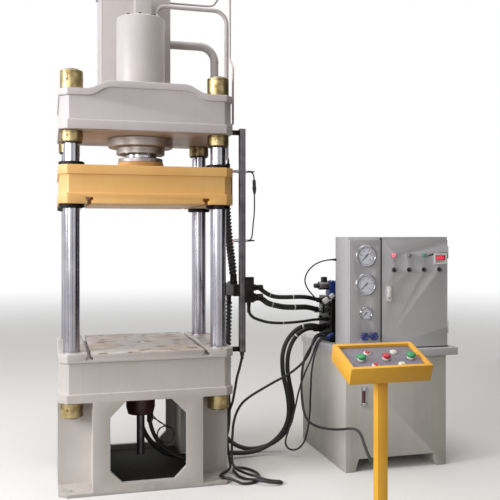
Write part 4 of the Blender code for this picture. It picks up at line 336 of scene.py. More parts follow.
# The same enamel, kept cleaner, on the cylinder, tank and pipes above reach.
UPPER_PAINT = enamel("off-white enamel above reach", "machine_paint", "#C6BFBC", "#BEB7B5", "#978F85", 0.38, 0.08, 0.0)
# Golden yellow enamel of the slide, warmer where it is thin.
SLIDE_PAINT = enamel("golden yellow machine enamel", "slide_paint", "#EFBC74", "#EAB368", "#9A7238", 0.4, 0.06, 0.0)
# Bright yellow powder coat of the pedestal: even, with a close orange peel.
PEDESTAL_PAINT = enamel(
    "bright yellow powder coat", "pedestal_paint", "#F0B53A", "#E8AB34", "#A67C2C", 0.38, 0.08, 0.25
)
# Pale grey powder coat of the cabinet: even and a little cooler than the enamel.
UNIT_PAINT = enamel("pale grey powder coat", "unit_paint", "#C5C2C2", "#BDBBBC", "#87847E", 0.5, 0.08, 0.25)
# Tank sides: the same coat with a warmer tone from oil mist.
TANK_PAINT = enamel("pale grey coat with oil mist", "unit_paint", "#CAC7BD", "#C0BDB3", "#857F74", 0.44, 0.14, 0.35)
# Dark oxide red primer of the ejector, wet with oil.
EJECTOR_PAINT = enamel("oxide red primer", "ejector_paint", "#4A2323", "#3A1B1B", "#1B1210", 0.36, 0.4, 0.0)
# Grey cast-housing enamel of the pump motor.
MOTOR_PAINT = enamel("grey motor enamel", "unit_paint", "#6F7A80", "#667177", "#3F4446", 0.45, 0.22, 0.0)
# Deep blue enamel of the valve body.
VALVE_PAINT = enamel("blue valve enamel", "blue_plastic", "#1D3480", "#182C6E", "#10182F", 0.34, 0.2, 0.0)
# Ground hard chrome of columns and rods: mirror-like with fine rings round the axis.
HARD_CHROME = bare_metal(
    "ground hard chrome", "column_chrome", "#B6B4BC", "#A5A3AC", 0.18, (0.05, 0.05, 1.0), 0.0, 0.15, 1.5
)
# Polished chrome of the gauge bezels and the lock.
CHROME = bare_metal("polished chrome", "bright_chrome", "#B4B4B9", "#A2A2A8", 0.12, None, 0.0, 0.05, 1.0)
# Yellow-passivated turned steel of the lock nuts: brass-like gold, brown where it has rubbed.
PASSIVATED = bare_metal(
    "yellow passivated steel", "turned_steel", "#AE9C72", "#786745", 0.34, (0.06, 0.06, 1.0), 0.45, 0.05, 1.6
)
# Oiled turned steel of the ring nut, gland and flange.
TURNED_STEEL = bare_metal(
    "oiled turned steel", "turned_steel", "#BAB4AF", "#A7A19C", 0.46, (0.05, 0.05, 1.0), 0.12, 0.09, 1.8
)
# Brushed nickel of the door's lock.
BRUSHED_NICKEL = bare_metal(
    "brushed nickel", "bright_chrome", "#E2DDDA", "#CFCAC8", 0.42, (1.0, 1.0, 0.04), 0.0, 0.05, 1.0
)
# Near-black sheet on the base's floor: painted shade where the floor lies in shadow.
FLOOR_SHADE_SHEET = moulded("painted shade on the base floor", "blackened_steel", "#14110F", "#221C17", 0.88, 60.0, 0.1)
# Zinc-plated sleeves, screws and nuts: cool, slightly matt.
ZINC = bare_metal("zinc plated steel", "turned_steel", "#B8B9BA", "#8F9092", 0.33, None, 0.3, 0.02, 0.8)
# Brown-black oxide of fittings and blocks, oily.
BLACK_OXIDE = bare_metal("blackened steel", "blackened_steel", "#2B2927", "#191817", 0.36, None, 0.25, 0.04, 1.0)
# Drawn steel channel of the switch post with its violet-grey phosphate coat.
POST_STEEL = bare_metal(
    "phosphated drawn steel", "blackened_steel", "#6D676B", "#544F54", 0.38, (1.0, 1.0, 0.03), 0.25, 0.08, 2.0
)
# Satin anodised plate under the buttons.
SATIN_PLATE = moulded("satin grey painted plate", "plate_grey", "#847F88", "#7A757E", 0.58, 1.0, 0.04)
# Galvanised equipment plate in the cabinet.
GALVANISED = bare_metal("galvanised sheet", "unit_paint", "#B0B4B6", "#9A9EA1", 0.42, None, 0.0, 0.02, 3.0)
# Nitrile-covered hose: matt black with shop dust.
HOSE = moulded("black hose cover", "hose_rubber", "#100F0F", "#181716", 0.55, 1.6, 0.2, 0.05)
# PVC cable sheath: a little glossier than the hose.
CABLE = moulded("black cable sheath", "hose_rubber", "#0F0F0F", "#171616", 0.45, 1.0, 0.08, 0.04)
# Polyethylene spiral guard.
GUARD = moulded("black spiral guard", "black_plastic", "#131313", "#1A1A19", 0.48, 1.2, 0.08, 0.05)
# Black glass-filled nylon of glands, plugs and caps.
BLACK_PLASTIC = moulded("black moulded nylon", "black_plastic", "#141414", "#1C1C1C", 0.46, 0.8, 0.12)
# Blue phenolic of the needle-valve knobs: hard gloss.
BLUE_PLASTIC = moulded("blue phenolic", "blue_plastic", "#14307F", "#10286A", 0.22, 0.8, 0.02, Coat_Weight=0.3)
# Gloss button caps.
GREEN_PLASTIC = moulded("green button plastic", "green_plastic", "#2F9A5C", "#2A8C53", 0.3, 0.6, 0.03)
RED_PLASTIC = moulded("red button plastic", "red_plastic", "#CC2E3C", "#B82834", 0.3, 0.6, 0.03)
CREAM_PLASTIC = moulded("cream button plastic", "cream_plastic", "#E6DFC6", "#DDD5BA", 0.32, 0.6, 0.03)
WHITE_PLASTIC = moulded("white moulded plastic", "cream_plastic", "#E4E3DF", "#DAD9D4", 0.38, 0.8, 0.05)
# Enamelled gauge dial and its printed marks.
DIAL_WHITE = moulded("white dial enamel", "cream_plastic", "#F3F4FB", "#ECEDF6", 0.5, 2.0, 0.01)
DIAL_BLACK = moulded("black dial print", "black_plastic", "#15151A", "#1D1D24", 0.5, 2.0, 0.01)
POINTER_BLUE = moulded("blue-black pointer enamel", "black_plastic", "#1B2148", "#232A55", 0.38, 1.0, 0.01)
# Lit and unlit lenses, and the display.
RED_LAMP = glowing("lit red lens", "red_plastic", "#FF4A58", "#FF8088", 0.9)
GREEN_LAMP = glowing("green lens", "green_plastic", "#3E8E6C", "#5AA885", 0.06)
DARK_LAMP = moulded("unlit grey lens", "plate_grey", "#85858A", "#77777C", 0.2, 0.6, 0.01)
DISPLAY_RED = glowing("red display window", "red_plastic", "#8C2038", "#A62C48", 0.2)
DISPLAY_DIGITS = glowing("lit red digits", "red_plastic", "#FF4A56", "#FF6A70", 0.9)
GLASS = clear("gauge glass", "bright_chrome", "#F4F8F8", 0.02)
OIL = moulded("red-brown oil column", "red_plastic", "#5A211B", "#481A16", 0.2, 2.0, 0.01)
# The cloth of the flags beside the set.
FLAG_CLOTH = moulded("black flag cloth", "black_plastic", "#0B0B0C", "#101011", 0.9, 3.0, 0.01)


# Shaping tools


def pick(piece):
    """Makes one object the only selected and the active one."""
    bpy.ops.object.select_all(action="DESELECT")
    piece.select_set(True)
    bpy.context.view_layer.objects.active = piece


def apply_modifier(piece, kind, **settings):
    pick(piece)
    modifier = piece.modifiers.new(kind.title(), kind)
    for key, value in settings.items():
        setattr(modifier, key, value)
    bpy.ops.object.modifier_apply(modifier=modifier.name)
    return piece


def softened(piece, width, segments=2, angle=32, clamp=True):
    """Rounds the sharp edges of a piece."""
    return apply_modifier(
        piece, "BEVEL", width=width, segments=segments, limit_method="ANGLE",
        angle_limit=math.radians(angle), use_clamp_overlap=clamp, harden_normals=False,
    )


def turned(outline, sides=40, soft=0.0):
    """A lathe shape: a disc drawn up ring by ring through (radius, height) pairs, closed at both ends."""
    radius, height = outline[0]
    bpy.ops.mesh.primitive_circle_add(vertices=sides, radius=radius, fill_type="NGON", location=(0, 0, 0))
    piece = bpy.context.object
    bpy.ops.object.mode_set(mode="EDIT")
    bpy.ops.transform.translate(value=(0, 0, height))
    for (r0, z0), (r1, z1) in zip(outline, outline[1:]):
        bpy.ops.mesh.extrude_region_move(TRANSFORM_OT_translate={"value": (0, 0, z1 - z0)})
        if r1 != r0:
            bpy.ops.transform.resize(value=(r1 / r0, r1 / r0, 1), center_override=(0, 0, z1))
    bpy.ops.object.mode_set(mode="OBJECT")
    return softened(piece, soft) if soft else piece


def slab(low, high, soft=0.0, segments=2):
    """A block between two corners, with its edges rounded."""
    low, high = Vector(low), Vector(high)
    bpy.ops.mesh.primitive_cube_add(size=1, location=(low + high) / 2)
    piece = bpy.context.object
    bpy.ops.object.mode_set(mode="EDIT")
    bpy.ops.transform.resize(value=high - low, center_override=(low + high) / 2)
    if soft:
        bpy.ops.mesh.bevel(offset=soft, segments=segments, affect="EDGES")
    bpy.ops.object.mode_set(mode="OBJECT")
    return piece


def cut_sheet(points, thickness, soft=0.0):
    """A flat shape with the given corners, drawn up to its thickness."""
    bpy.ops.mesh.primitive_circle_add(vertices=len(points), radius=1, fill_type="NGON", location=(0, 0, 0))
    piece = bpy.context.object
    for vertex, (x, y) in zip(piece.data.vertices, points):
        vertex.co = (x, y, 0)
    bpy.ops.object.mode_set(mode="EDIT")
    bpy.ops.mesh.select_all(action="SELECT")
    bpy.ops.mesh.extrude_region_move(TRANSFORM_OT_translate={"value": (0, 0, thickness)})
    bpy.ops.mesh.select_all(action="SELECT")
    bpy.ops.mesh.normals_make_consistent(inside=False)
    bpy.ops.object.mode_set(mode="OBJECT")
    return softened(piece, soft) if soft else piece


def tube(route, diameter, steps=4):
    """A round bar or pipe along a route."""
    curve = line_along("tube", route, diameter, steps)
    pick(curve)
    bpy.ops.object.convert(target="MESH")
    return bpy.context.object


def line_along(name, route, diameter, steps):
    curve = bpy.data.curves.new(name, "CURVE")
    curve.dimensions = "3D"
    curve.bevel_depth = diameter / 2
    curve.bevel_resolution = steps
    curve.use_fill_caps = True
    spline = curve.splines.new("POLY")
    spline.points.add(len(route) - 1)
    for spot, at in zip(spline.points, route):
        spot.co = (*at, 1)
    made = bpy.data.objects.new(name, curve)
    bpy.context.scene.collection.objects.link(made)
    return made


def carved(piece, *cutters):
    """Takes the cutters' shapes out of a piece."""
    for cutter in cutters:
        apply_modifier(piece, "BOOLEAN", object=cutter, operation="DIFFERENCE", solver="EXACT")
        bpy.data.objects.remove(cutter)
    return piece


def placed(piece, *steps):
    """Moves a piece's mesh by each step in turn; the object stays at the origin."""
    bpy.context.view_layer.update()
    matrix = piece.matrix_world.copy()
    for step in steps:
        matrix = step @ matrix
    piece.data.transform(matrix)
    piece.matrix_world = Matrix.Identity(4)
    return piece


def repeated(piece, spots):
    """The same piece at each of several spots, as one object."""
    placed(piece)
    whole = bmesh.new()
    for spot in spots:
        one = piece.data.copy()
        one.transform(spot)
        whole.from_mesh(one)
        bpy.data.meshes.remove(one)
    whole.to_mesh(piece.data)
    whole.free()
    return piece


def joined(*pieces):
    """Several shapes as one object."""
    for piece in pieces:
        placed(piece)
    pick(pieces[0])
    for piece in pieces[1:]:
        piece.select_set(True)
    bpy.ops.object.join()
    return bpy.context.object


def dressed(piece, name, finish, body="machine", stands_for=()):
    """Names a piece, closes and smooths it, gives it its finish and lets it ride on its body."""
    placed(piece)
    piece.name = piece.data.name = name
    pick(piece)
    bpy.ops.object.mode_set(mode="EDIT")
    bpy.ops.mesh.select_all(action="SELECT")
    bpy.ops.mesh.remove_doubles(threshold=0.00001)
    bpy.ops.mesh.normals_make_consistent(inside=False)
    bpy.ops.object.mode_set(mode="OBJECT")
    piece.data.materials.clear()
    piece.data.materials.append(finish)
    bpy.ops.object.shade_smooth_by_angle(angle=SMOOTH_BELOW)
    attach(piece, body)
    if stands_for:
        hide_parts(*([stands_for] if isinstance(stands_for, str) else stands_for))
    return piece


def lathe(name, finish, outline, sides, body="machine", stands_for=(), at=Matrix.Identity(4)):
    """A turned piece, set in its place and dressed."""
    return dressed(placed(turned(outline, sides), at), name, finish, body, stands_for)


def round_mouldings(piece, width, above):
    """Rounds the raised bands and corners round the outside of a cast block, but not its slots or bores."""
    pick(piece)
    bpy.ops.object.mode_set(mode="EDIT")
    bpy.ops.mesh.select_all(action="DESELECT")
    bpy.ops.mesh.select_mode(type="EDGE")
    mesh = bmesh.from_edit_mesh(piece.data)
    for edge in mesh.edges:
        middle = (edge.verts[0].co + edge.verts[1].co) / 2
        outside = abs(middle.x) > OUTSIDE_X or abs(middle.y) > OUTSIDE_Y
        in_slot = abs(abs(middle.x) - SLOT_X) < SLOT_REACH
        if middle.z > above and outside and not in_slot and len(edge.link_faces) == 2:
            edge.select = edge.calc_face_angle() > math.radians(20)
    bmesh.update_edit_mesh(piece.data)
    bpy.ops.mesh.bevel(offset=width, segments=4, affect="EDGES", clamp_overlap=True)
    bpy.ops.mesh.select_mode(type="VERT")
    bpy.ops.object.mode_set(mode="OBJECT")


def from_cad(node, name, finish, body="machine", soft=0.0015, segments=2, mouldings=None):
    """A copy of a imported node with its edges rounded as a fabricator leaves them."""
    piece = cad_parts[node].copy()
    piece.data = piece.data.copy()
    piece.parent = None
    for key in list(piece.keys()):
        del piece[key]
    bpy.context.scene.collection.objects.link(piece)
    pick(piece)
    bpy.ops.mesh.customdata_custom_splitnormals_clear()
    bpy.ops.object.mode_set(mode="EDIT")
    bpy.ops.mesh.select_all(action="SELECT")
    bpy.ops.mesh.remove_doubles(threshold=0.00004)
    bpy.ops.mesh.dissolve_limited(angle_limit=math.radians(0.5))
    bpy.ops.object.mode_set(mode="OBJECT")
    if mouldings:
        round_mouldings(piece, *mouldings)
    if soft:
        softened(piece, soft, segments, 25, clamp=False)
    return dressed(piece, name, finish, body, node)


def shift(x=0.0, y=0.0, z=0.0):
    return Matrix.Translation((x, y, z))


def turn(degrees, axis):
    return Matrix.Rotation(math.radians(degrees), 4, axis)


def round_ring(count, radius, height=0.0, start=0.0):
    """Spots evenly round a circle, each turned to face outwards."""
    return [turn(start + 360 * i / count, "Z") @ shift(radius, 0, height) for i in range(count)]


FACE_FRONT = turn(90, "X")  # a shape drawn upwards then stands out towards the operator
FACE_RIGHT = turn(90, "Y")


def hex_screw(across, height):
    """A hexagon head with its chamfer and washer face."""
    radius = across / math.sqrt(3)
    washer = turned([(radius * 1.02, 0), (radius * 1.02, height * 0.12)], 24)
    head = turned([(radius, height * 0.1), (radius, height * 0.82), (radius * 0.86, height)], 6)
    return joined(washer, head)


def socket_screw(diameter, height):
    """A cap screw with its hexagon socket."""
    radius = diameter / 2
    rim, socket = (radius * 0.9, height), [(radius * 0.52, height), (radius * 0.48, height * 0.45)]
    return turned([(radius, 0), (radius, height * 0.88), rim, *socket], 20)


# Hoses and cables: the routes repeat those of the solids, in metres

CURVE_STEPS = 12
# Two and a bit turns of spare cable that hang in an upright plane under the ejector.
COIL = [
    (0.151 + 0.052 * math.sin(math.tau * i / 8), -0.055 + 0.0012 * i, 0.2233 + 0.052 * math.cos(math.tau * i / 8))
    for i in range(17)
]
CORDS = {
    "supply_hose": (0.028, [
        (0.6483, -0.3, 1.15), (0.672, -0.3, 1.15), (0.738, -0.252, 1.115), (0.793, -0.203, 1.09), (0.85, -0.162, 1.077),
        (0.918, -0.12, 1.071), (1.013, -0.06, 1.066), (1.08, -0.012, 1.06), (1.136, 0.034, 1.05), (1.19, 0.079, 1.036),
        (1.245, 0.1, 1.028), (1.2697, 0.1, 1.028),
    ]),
    "return_hose": (0.036, [
        (0.6483, -0.3, 1.09), (0.674, -0.3, 1.09), (0.768, -0.228, 1.044), (0.882, -0.14, 1.013), (0.96, -0.088, 1.002),
        (1.04, -0.034, 0.996), (1.11, 0.03, 0.988), (1.17, 0.092, 0.974), (1.24, 0.15, 0.958), (1.2697, 0.15, 0.958),
    ]),
    "pilot_hose": (0.018, [
        (0.622, -0.3, 1.0597), (0.622, -0.3, 1.038), (0.628, -0.298, 0.994), (0.655, -0.285, 0.966),
        (0.701, -0.258, 0.946), (0.75, -0.224, 0.93), (0.796, -0.192, 0.919), (0.885, -0.132, 0.907),
        (0.982, -0.068, 0.901), (1.08, -0.005, 0.899), (1.15, 0.04, 0.9), (1.205, 0.064, 0.9), (1.252, 0.071, 0.9),
        (1.2697, 0.071, 0.9),
    ]),
    "ejector_return_hose": (0.03, [
        (1.2697, 0.11, 0.845), (1.242, 0.11, 0.845), (1.17, 0.105, 0.857), (1.099, 0.1, 0.848), (1.048, 0.1, 0.818),
        (1.004, 0.1, 0.77), (0.978, 0.1, 0.72), (0.964, 0.1, 0.656), (0.964, 0.1, 0.585), (0.972, 0.1, 0.514),
        (0.99, 0.1, 0.44), (1.003, 0.1, 0.371), (1.009, 0.1, 0.3), (1.005, 0.1, 0.24), (0.986, 0.1, 0.182),
        (0.954, 0.1, 0.133), (0.91, 0.099, 0.092), (0.86, 0.097, 0.062), (0.8, 0.093, 0.04), (0.737, 0.088, 0.03),
        (0.67, 0.082, 0.031), (0.6, 0.076, 0.038), (0.53, 0.07, 0.043), (0.44, 0.064, 0.044), (0.34, 0.06, 0.045),
        (0.24, 0.057, 0.052), (0.16, 0.055, 0.08), (0.095, 0.055, 0.13), (0.042, 0.055, 0.2), (0.012, 0.055, 0.27),
        (0.0, 0.055, 0.332), (0.0, 0.055, 0.3574),
    ]),
    "tank_return_hose": (0.03, [
        (1.2697, 0.165, 0.822), (1.242, 0.165, 0.822), (1.17, 0.16, 0.828), (1.105, 0.152, 0.802), (1.06, 0.15, 0.756),
        (1.03, 0.15, 0.695), (1.016, 0.15, 0.625), (1.016, 0.15, 0.55), (1.028, 0.15, 0.47), (1.044, 0.15, 0.395),
        (1.053, 0.15, 0.32), (1.05, 0.15, 0.25), (1.032, 0.15, 0.185), (1.0, 0.151, 0.13), (0.955, 0.154, 0.086),
        (0.9, 0.16, 0.053), (0.84, 0.17, 0.032), (0.78, 0.186, 0.021), (0.72, 0.208, 0.026), (0.665, 0.233, 0.048),
        (0.62, 0.255, 0.085), (0.585, 0.271, 0.135), (0.56, 0.282, 0.195), (0.544, 0.288, 0.26), (0.537, 0.29, 0.33),
        (0.536, 0.29, 0.392), (0.536, 0.29, 0.4197),
    ]),
    "riser_hose": (0.036, [
        (0.553, 0.0, 1.9297), (0.553, 0.0, 1.898), (0.552, -0.008, 1.79), (0.55, -0.024, 1.68), (0.548, -0.05, 1.58),
        (0.546, -0.086, 1.49), (0.545, -0.128, 1.405), (0.544, -0.172, 1.33), (0.543, -0.212, 1.262),
        (0.542, -0.234, 1.198), (0.542, -0.234, 1.1703),
    ]),
    "ejector_feed_hose": (0.026, [
        (0.543, -0.105, 1.0997), (0.543, -0.105, 1.07), (0.541, -0.104, 0.95), (0.539, -0.1, 0.85),
        (0.539, -0.094, 0.75), (0.541, -0.086, 0.64), (0.545, -0.078, 0.53), (0.55, -0.071, 0.42),
        (0.553, -0.066, 0.33), (0.549, -0.062, 0.25), (0.533, -0.059, 0.18), (0.502, -0.056, 0.124),
        (0.456, -0.053, 0.086), (0.396, -0.048, 0.064), (0.33, -0.04, 0.056), (0.264, -0.03, 0.062),
        (0.2, -0.018, 0.088), (0.142, -0.008, 0.134), (0.098, -0.002, 0.19), (0.07, 0.0, 0.252), (0.055, 0.0, 0.332),
        (0.055, 0.0, 0.3574),
    ]),
    "signal_cable": (0.016, [
        (0.58, -0.3, 0.7597), (0.58, -0.3, 0.742), (0.567, -0.288, 0.66), (0.5555, -0.27, 0.6), (0.548, -0.246, 0.52),
        (0.541, -0.218, 0.444), (0.531, -0.184, 0.385), (0.524, -0.156, 0.325), (0.522, -0.146, 0.26),
        (0.523, -0.15, 0.19), (0.526, -0.17, 0.12), (0.527, -0.202, 0.066), (0.52, -0.238, 0.042),
        (0.492, -0.272, 0.034), (0.458, -0.3, 0.031), (0.437, -0.338, 0.031), (0.447, -0.379, 0.031),
        (0.48, -0.408, 0.0305), (0.51, -0.432, 0.021), (0.545, -0.448, 0.01), (0.58, -0.453, 0.009),
        (0.634, -0.43, 0.009), (0.671, -0.37, 0.01), (0.68, -0.3, 0.01), (0.664, -0.226, 0.01), (0.624, -0.166, 0.01),
        (0.577, -0.152, 0.012), (0.551, -0.196, 0.016), (0.549, -0.262, 0.014), (0.558, -0.33, 0.011),
        (0.588, -0.392, 0.014), (0.634, -0.462, 0.028), (0.688, -0.5, 0.022), (0.74, -0.512, 0.016),
        (0.772, -0.494, 0.01), (0.768, -0.464, 0.009), (0.73, -0.448, 0.01), (0.68, -0.438, 0.02),
        (0.637, -0.398, 0.03), (0.608, -0.35, 0.028), (0.585, -0.3, 0.028), (0.56, -0.252, 0.034),
        (0.541, -0.222, 0.056), (0.54, -0.2, 0.095), (0.545, -0.18, 0.15), (0.552, -0.166, 0.215),
        (0.563, -0.15, 0.288), (0.588, -0.132, 0.353), (0.631, -0.11, 0.405), (0.69, -0.082, 0.438),
        (0.76, -0.052, 0.465), (0.871, -0.01, 0.506), (0.985, 0.03, 0.546), (1.082, 0.06, 0.602), (1.138, 0.078, 0.658),
        (1.17, 0.09, 0.722), (1.194, 0.099, 0.774), (1.225, 0.104, 0.793), (1.252, 0.105, 0.793),
        (1.2697, 0.105, 0.793),
    ]),
    "pedestal_cable": (0.016, [
        (1.2697, 0.07, 0.79), (1.252, 0.07, 0.79), (1.222, 0.068, 0.79), (1.194, 0.061, 0.778), (1.16, 0.046, 0.738),
        (1.12, 0.026, 0.69), (1.085, 0.008, 0.636), (1.064, -0.014, 0.57), (1.048, -0.05, 0.49), (1.034, -0.1, 0.405),
        (1.026, -0.16, 0.34), (1.028, -0.236, 0.298), (1.05, -0.33, 0.284), (1.092, -0.415, 0.286),
        (1.134, -0.49, 0.298), (1.154, -0.59, 0.326), (1.146, -0.7, 0.352), (1.12, -0.82, 0.37), (1.082, -0.95, 0.378),
        (1.034, -1.09, 0.382), (0.99, -1.22, 0.386), (0.952, -1.34, 0.389), (0.925, -1.46, 0.39),
        (0.925, -1.4807, 0.39),
    ]),
    "slack_cable": (0.012, [
        (1.2697, 0.0, 0.776), (1.252, 0.0, 0.776), (1.222, 0.001, 0.776), (1.196, 0.004, 0.762), (1.184, 0.008, 0.735),
        (1.17, 0.014, 0.69), (1.15, 0.01, 0.625), (1.136, 0.004, 0.545), (1.13, 0.0, 0.454), (1.126, 0.0, 0.37),
        (1.124, 0.0, 0.298), (1.117, 0.0, 0.235), (1.107, 0.0, 0.175), (1.088, 0.0, 0.108), (1.058, 0.0, 0.066),
        (1.02, 0.002, 0.048), (0.982, 0.01, 0.054), (0.962, 0.024, 0.082), (0.968, 0.036, 0.118), (0.984, 0.041, 0.16),
        (1.006, 0.045, 0.22), (1.026, 0.045, 0.282), (1.042, 0.045, 0.345), (1.056, 0.045, 0.407),
        (1.077, 0.045, 0.475), (1.101, 0.045, 0.538), (1.13, 0.045, 0.6), (1.158, 0.046, 0.66), (1.178, 0.044, 0.715),
        (1.196, 0.038, 0.756), (1.222, 0.035, 0.777), (1.252, 0.035, 0.777), (1.2697, 0.035, 0.777),
    ]),
    "sensor_cable": (0.008, [
        (0.6116, -0.3, 1.857), (0.62, -0.3, 1.857), (0.637, -0.3, 1.854), (0.65, -0.3, 1.841), (0.655, -0.3, 1.82),
        (0.656, -0.3, 1.78), (0.657, -0.3, 1.74), (0.658, -0.3, 1.69), (0.658, -0.3, 1.64), (0.656, -0.3, 1.595),
        (0.651, -0.3, 1.55), (0.647, -0.3, 1.51), (0.644, -0.3, 1.474), (0.636, -0.3, 1.447), (0.62, -0.3, 1.437),
        (0.6116, -0.3, 1.437),
    ]),
    "solenoid_cable": (0.009, [
        (1.2447, -0.165, 1.311), (1.23, -0.165, 1.311), (1.1945, -0.152, 1.3087), (1.1468, -0.13, 1.2954),
        (1.105, -0.113, 1.27), (1.076, -0.098, 1.235), (1.0612, -0.08, 1.1853), (1.07, -0.07, 1.145),
        (1.098, -0.05, 1.106), (1.1348, -0.025, 1.072), (1.18, 0.003, 1.035), (1.22, 0.018, 1.008), (1.25, 0.02, 1.0),
        (1.2697, 0.02, 1.0),
    ]),
    "ejector_sensor_cable": (0.007, [
        (0.054, -0.05, 0.3575), (0.054, -0.05, 0.352), (0.066, -0.051, 0.336), (0.096, -0.053, 0.318),
        (0.122, -0.055, 0.3), *COIL, (0.112, -0.034, 0.3), (0.086, -0.034, 0.328), (0.07, -0.034, 0.35),
        (0.07, -0.034, 0.3575),
    ]),
}


def smooth_route(points, spacing):
    """Points at even steps along one smooth curve through the route, whose two end pieces are straight."""
    spots = [Vector(point) for point in points]
    times = [0.0]
    for before, after in zip(spots, spots[1:]):
        times.append(times[-1] + math.sqrt((after - before).length))
    slopes = []
    for i in range(1, len(spots) - 1):
        slopes.append((spots[i + 1] - spots[i - 1]) / (times[i + 1] - times[i - 1]))
    slopes[0] = (spots[1] - spots[0]).normalized() * slopes[0].length
    slopes[-1] = (spots[-1] - spots[-2]).normalized() * slopes[-1].length
    fine = [spots[1]]
    for i in range(len(slopes) - 1):
        span = times[i + 2] - times[i + 1]
        for step in range(1, CURVE_STEPS + 1):
            t = step / CURVE_STEPS
            fine.append(
                spots[i + 1] * (2 * t**3 - 3 * t**2 + 1)
                + slopes[i] * span * (t**3 - 2 * t**2 + t)
                + spots[i + 2] * (3 * t**2 - 2 * t**3)
                + slopes[i + 1] * span * (t**3 - t**2)
            )
    reached = [0.0]
    for before, after in zip(fine, fine[1:]):
        reached.append(reached[-1] + (after - before).length)
    count = math.ceil(reached[-1] / spacing) + 1
    route = [spots[0]]
    i = 0
    for step in range(count):
        goal = reached[-1] * step / (count - 1)
        while i < len(fine) - 2 and reached[i + 1] < goal:
            i += 1
        share = (goal - reached[i]) / (reached[i + 1] - reached[i])
        route.append(fine[i].lerp(fine[i + 1], share))
    return [*route, spots[-1]]


def along(route, distance):
    """The spot on a route at a distance from its start, with Z along the route."""
    for before, after in zip(route, route[1:]):
        step = (after - before).length
        if distance <= step:
            break
        distance -= step
    at = before.lerp(after, min(1.0, distance / step))
    return Matrix.Translation(at) @ (after - before).to_track_quat("Z", "Y").to_matrix().to_4x4()


ROUTES = {name: smooth_route(points, 0.9 * diameter) for name, (diameter, points) in CORDS.items()}


def hose_end(diameter):
    """A crimped hose end: its hexagon, the swaged sleeve and a short collar."""
    r = diameter / 2
    nut = turned([(r * 1.42, -0.001), (r * 1.42, 0.017), (r * 1.24, 0.019)], 6)
    sleeve = [(r * 0.9, 0.018), (r * 1.22, 0.02)]
    for i in range(4):
        low = 0.021 + i * 0.009
        sleeve += [(r * 1.22, low + 0.002), (r * 1.14, low + 0.004), (r * 1.14, low + 0.006), (r * 1.22, low + 0.008)]
    sleeve += [(r * 1.16, 0.06), (r * 1.0, 0.062)]
    return joined(nut, turned(sleeve, 24))


def cable_gland(diameter):
    """A nylon gland: hexagon, dome nut and the tapered sleeve that guards the bend."""
    r = diameter / 2
    nut = turned([(r * 1.75, -0.001), (r * 1.75, 0.007)], 6)
    dome = turned([
        (r * 1.5, 0.006), (r * 1.6, 0.009), (r * 1.6, 0.017), (r * 1.25, 0.023), (r * 1.12, 0.04), (r * 1.02, 0.046),
    ], 20)
    return joined(nut, dome)


def light_band(diameter, width):
    """A pale marking band round a hose."""
    r = diameter / 2
    return turned([(r * 0.98, 0), (r * 1.06, 0.001), (r * 1.06, width - 0.001), (r * 0.98, width)], 24)


def spiral_guard(route, start, end, diameter, pitch, band):
    """A flat plastic band wound round a hose between two distances along it."""
    helix = []
    steps_per_turn = 14
    turns = (end - start) / pitch
    count = int(turns * steps_per_turn)
    for i in range(count + 1):
        spot = along(route, start + (end - start) * i / count)
        angle = math.tau * turns * i / count
        helix.append(spot @ Vector((diameter / 2 * math.cos(angle), diameter / 2 * math.sin(angle), 0)))
    return tube(helix, band, 2)


GUARDS = {"riser_hose": (0.03, 0.74, 0.052), "ejector_feed_hose": (0.04, 0.46, 0.046)}  # start, end, diameter
GUARD_PITCH, GUARD_BAND = 0.024, 0.011
BANDS = {  # the pale bands on each hose: distance along it and width
    "supply_hose": ((0.4, 0.01), (0.16, 0.006)),
    "return_hose": ((0.42, 0.01), (0.18, 0.006)),
    "pilot_hose": ((0.4, 0.008),),
    "ejector_return_hose": ((0.16, 0.01),),
    "tank_return_hose": ((0.2, 0.01),),
}
CABLES = ("signal_cable", "pedestal_cable", "slack_cable", "sensor_cable", "solenoid_cable", "ejector_sensor_cable")
THIN_CABLES = ("solenoid_cable", "ejector_sensor_cable")  # too thin to be parts of their own in the model


def make_cords():
    """Every cord with its end fittings, bands, guard and connector, which all go with it."""
    for name, (diameter, _) in CORDS.items():
        route = ROUTES[name]
        is_cable = name in CABLES
        line = line_along(name + "_run", route, diameter, 5)
        line.data.materials.append(CABLE if is_cable else HOSE)
        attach(line, "machine")
        if name not in THIN_CABLES:
            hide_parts(name)
        for end, path in (("start", route), ("finish", route[::-1])):
            fitting = cable_gland(diameter) if is_cable else hose_end(diameter)
            placed(fitting, along(path, 0.0))
            look = BLACK_PLASTIC if is_cable else (ZINC if name == "return_hose" and end == "finish" else BLACK_OXIDE)
            dressed(fitting, f"{name}_{end}_fitting", look)
        for i, (distance, width) in enumerate(BANDS.get(name, ())):
            band = placed(light_band(diameter, width), along(route, distance))
            dressed(band, f"{name}_band_{i + 1}", WHITE_PLASTIC)
        if name in GUARDS:
            start, end, wide = GUARDS[name]
            guard = spiral_guard(route, start, end, wide - GUARD_BAND, GUARD_PITCH, GUARD_BAND)
            dressed(guard, name + "_spiral_guard", GUARD)
        if name == "sensor_cable":
            body = turned([
                (0.005, 0), (0.0085, 0.006), (0.0105, 0.012), (0.0105, 0.044), (0.012, 0.046), (0.012, 0.06),
                (0.0085, 0.08), (0.005, 0.092),
            ], 20)
            placed(body, along(route, 0.075))
            dressed(body, "sensor_connector", BLACK_PLASTIC)


# The press frame


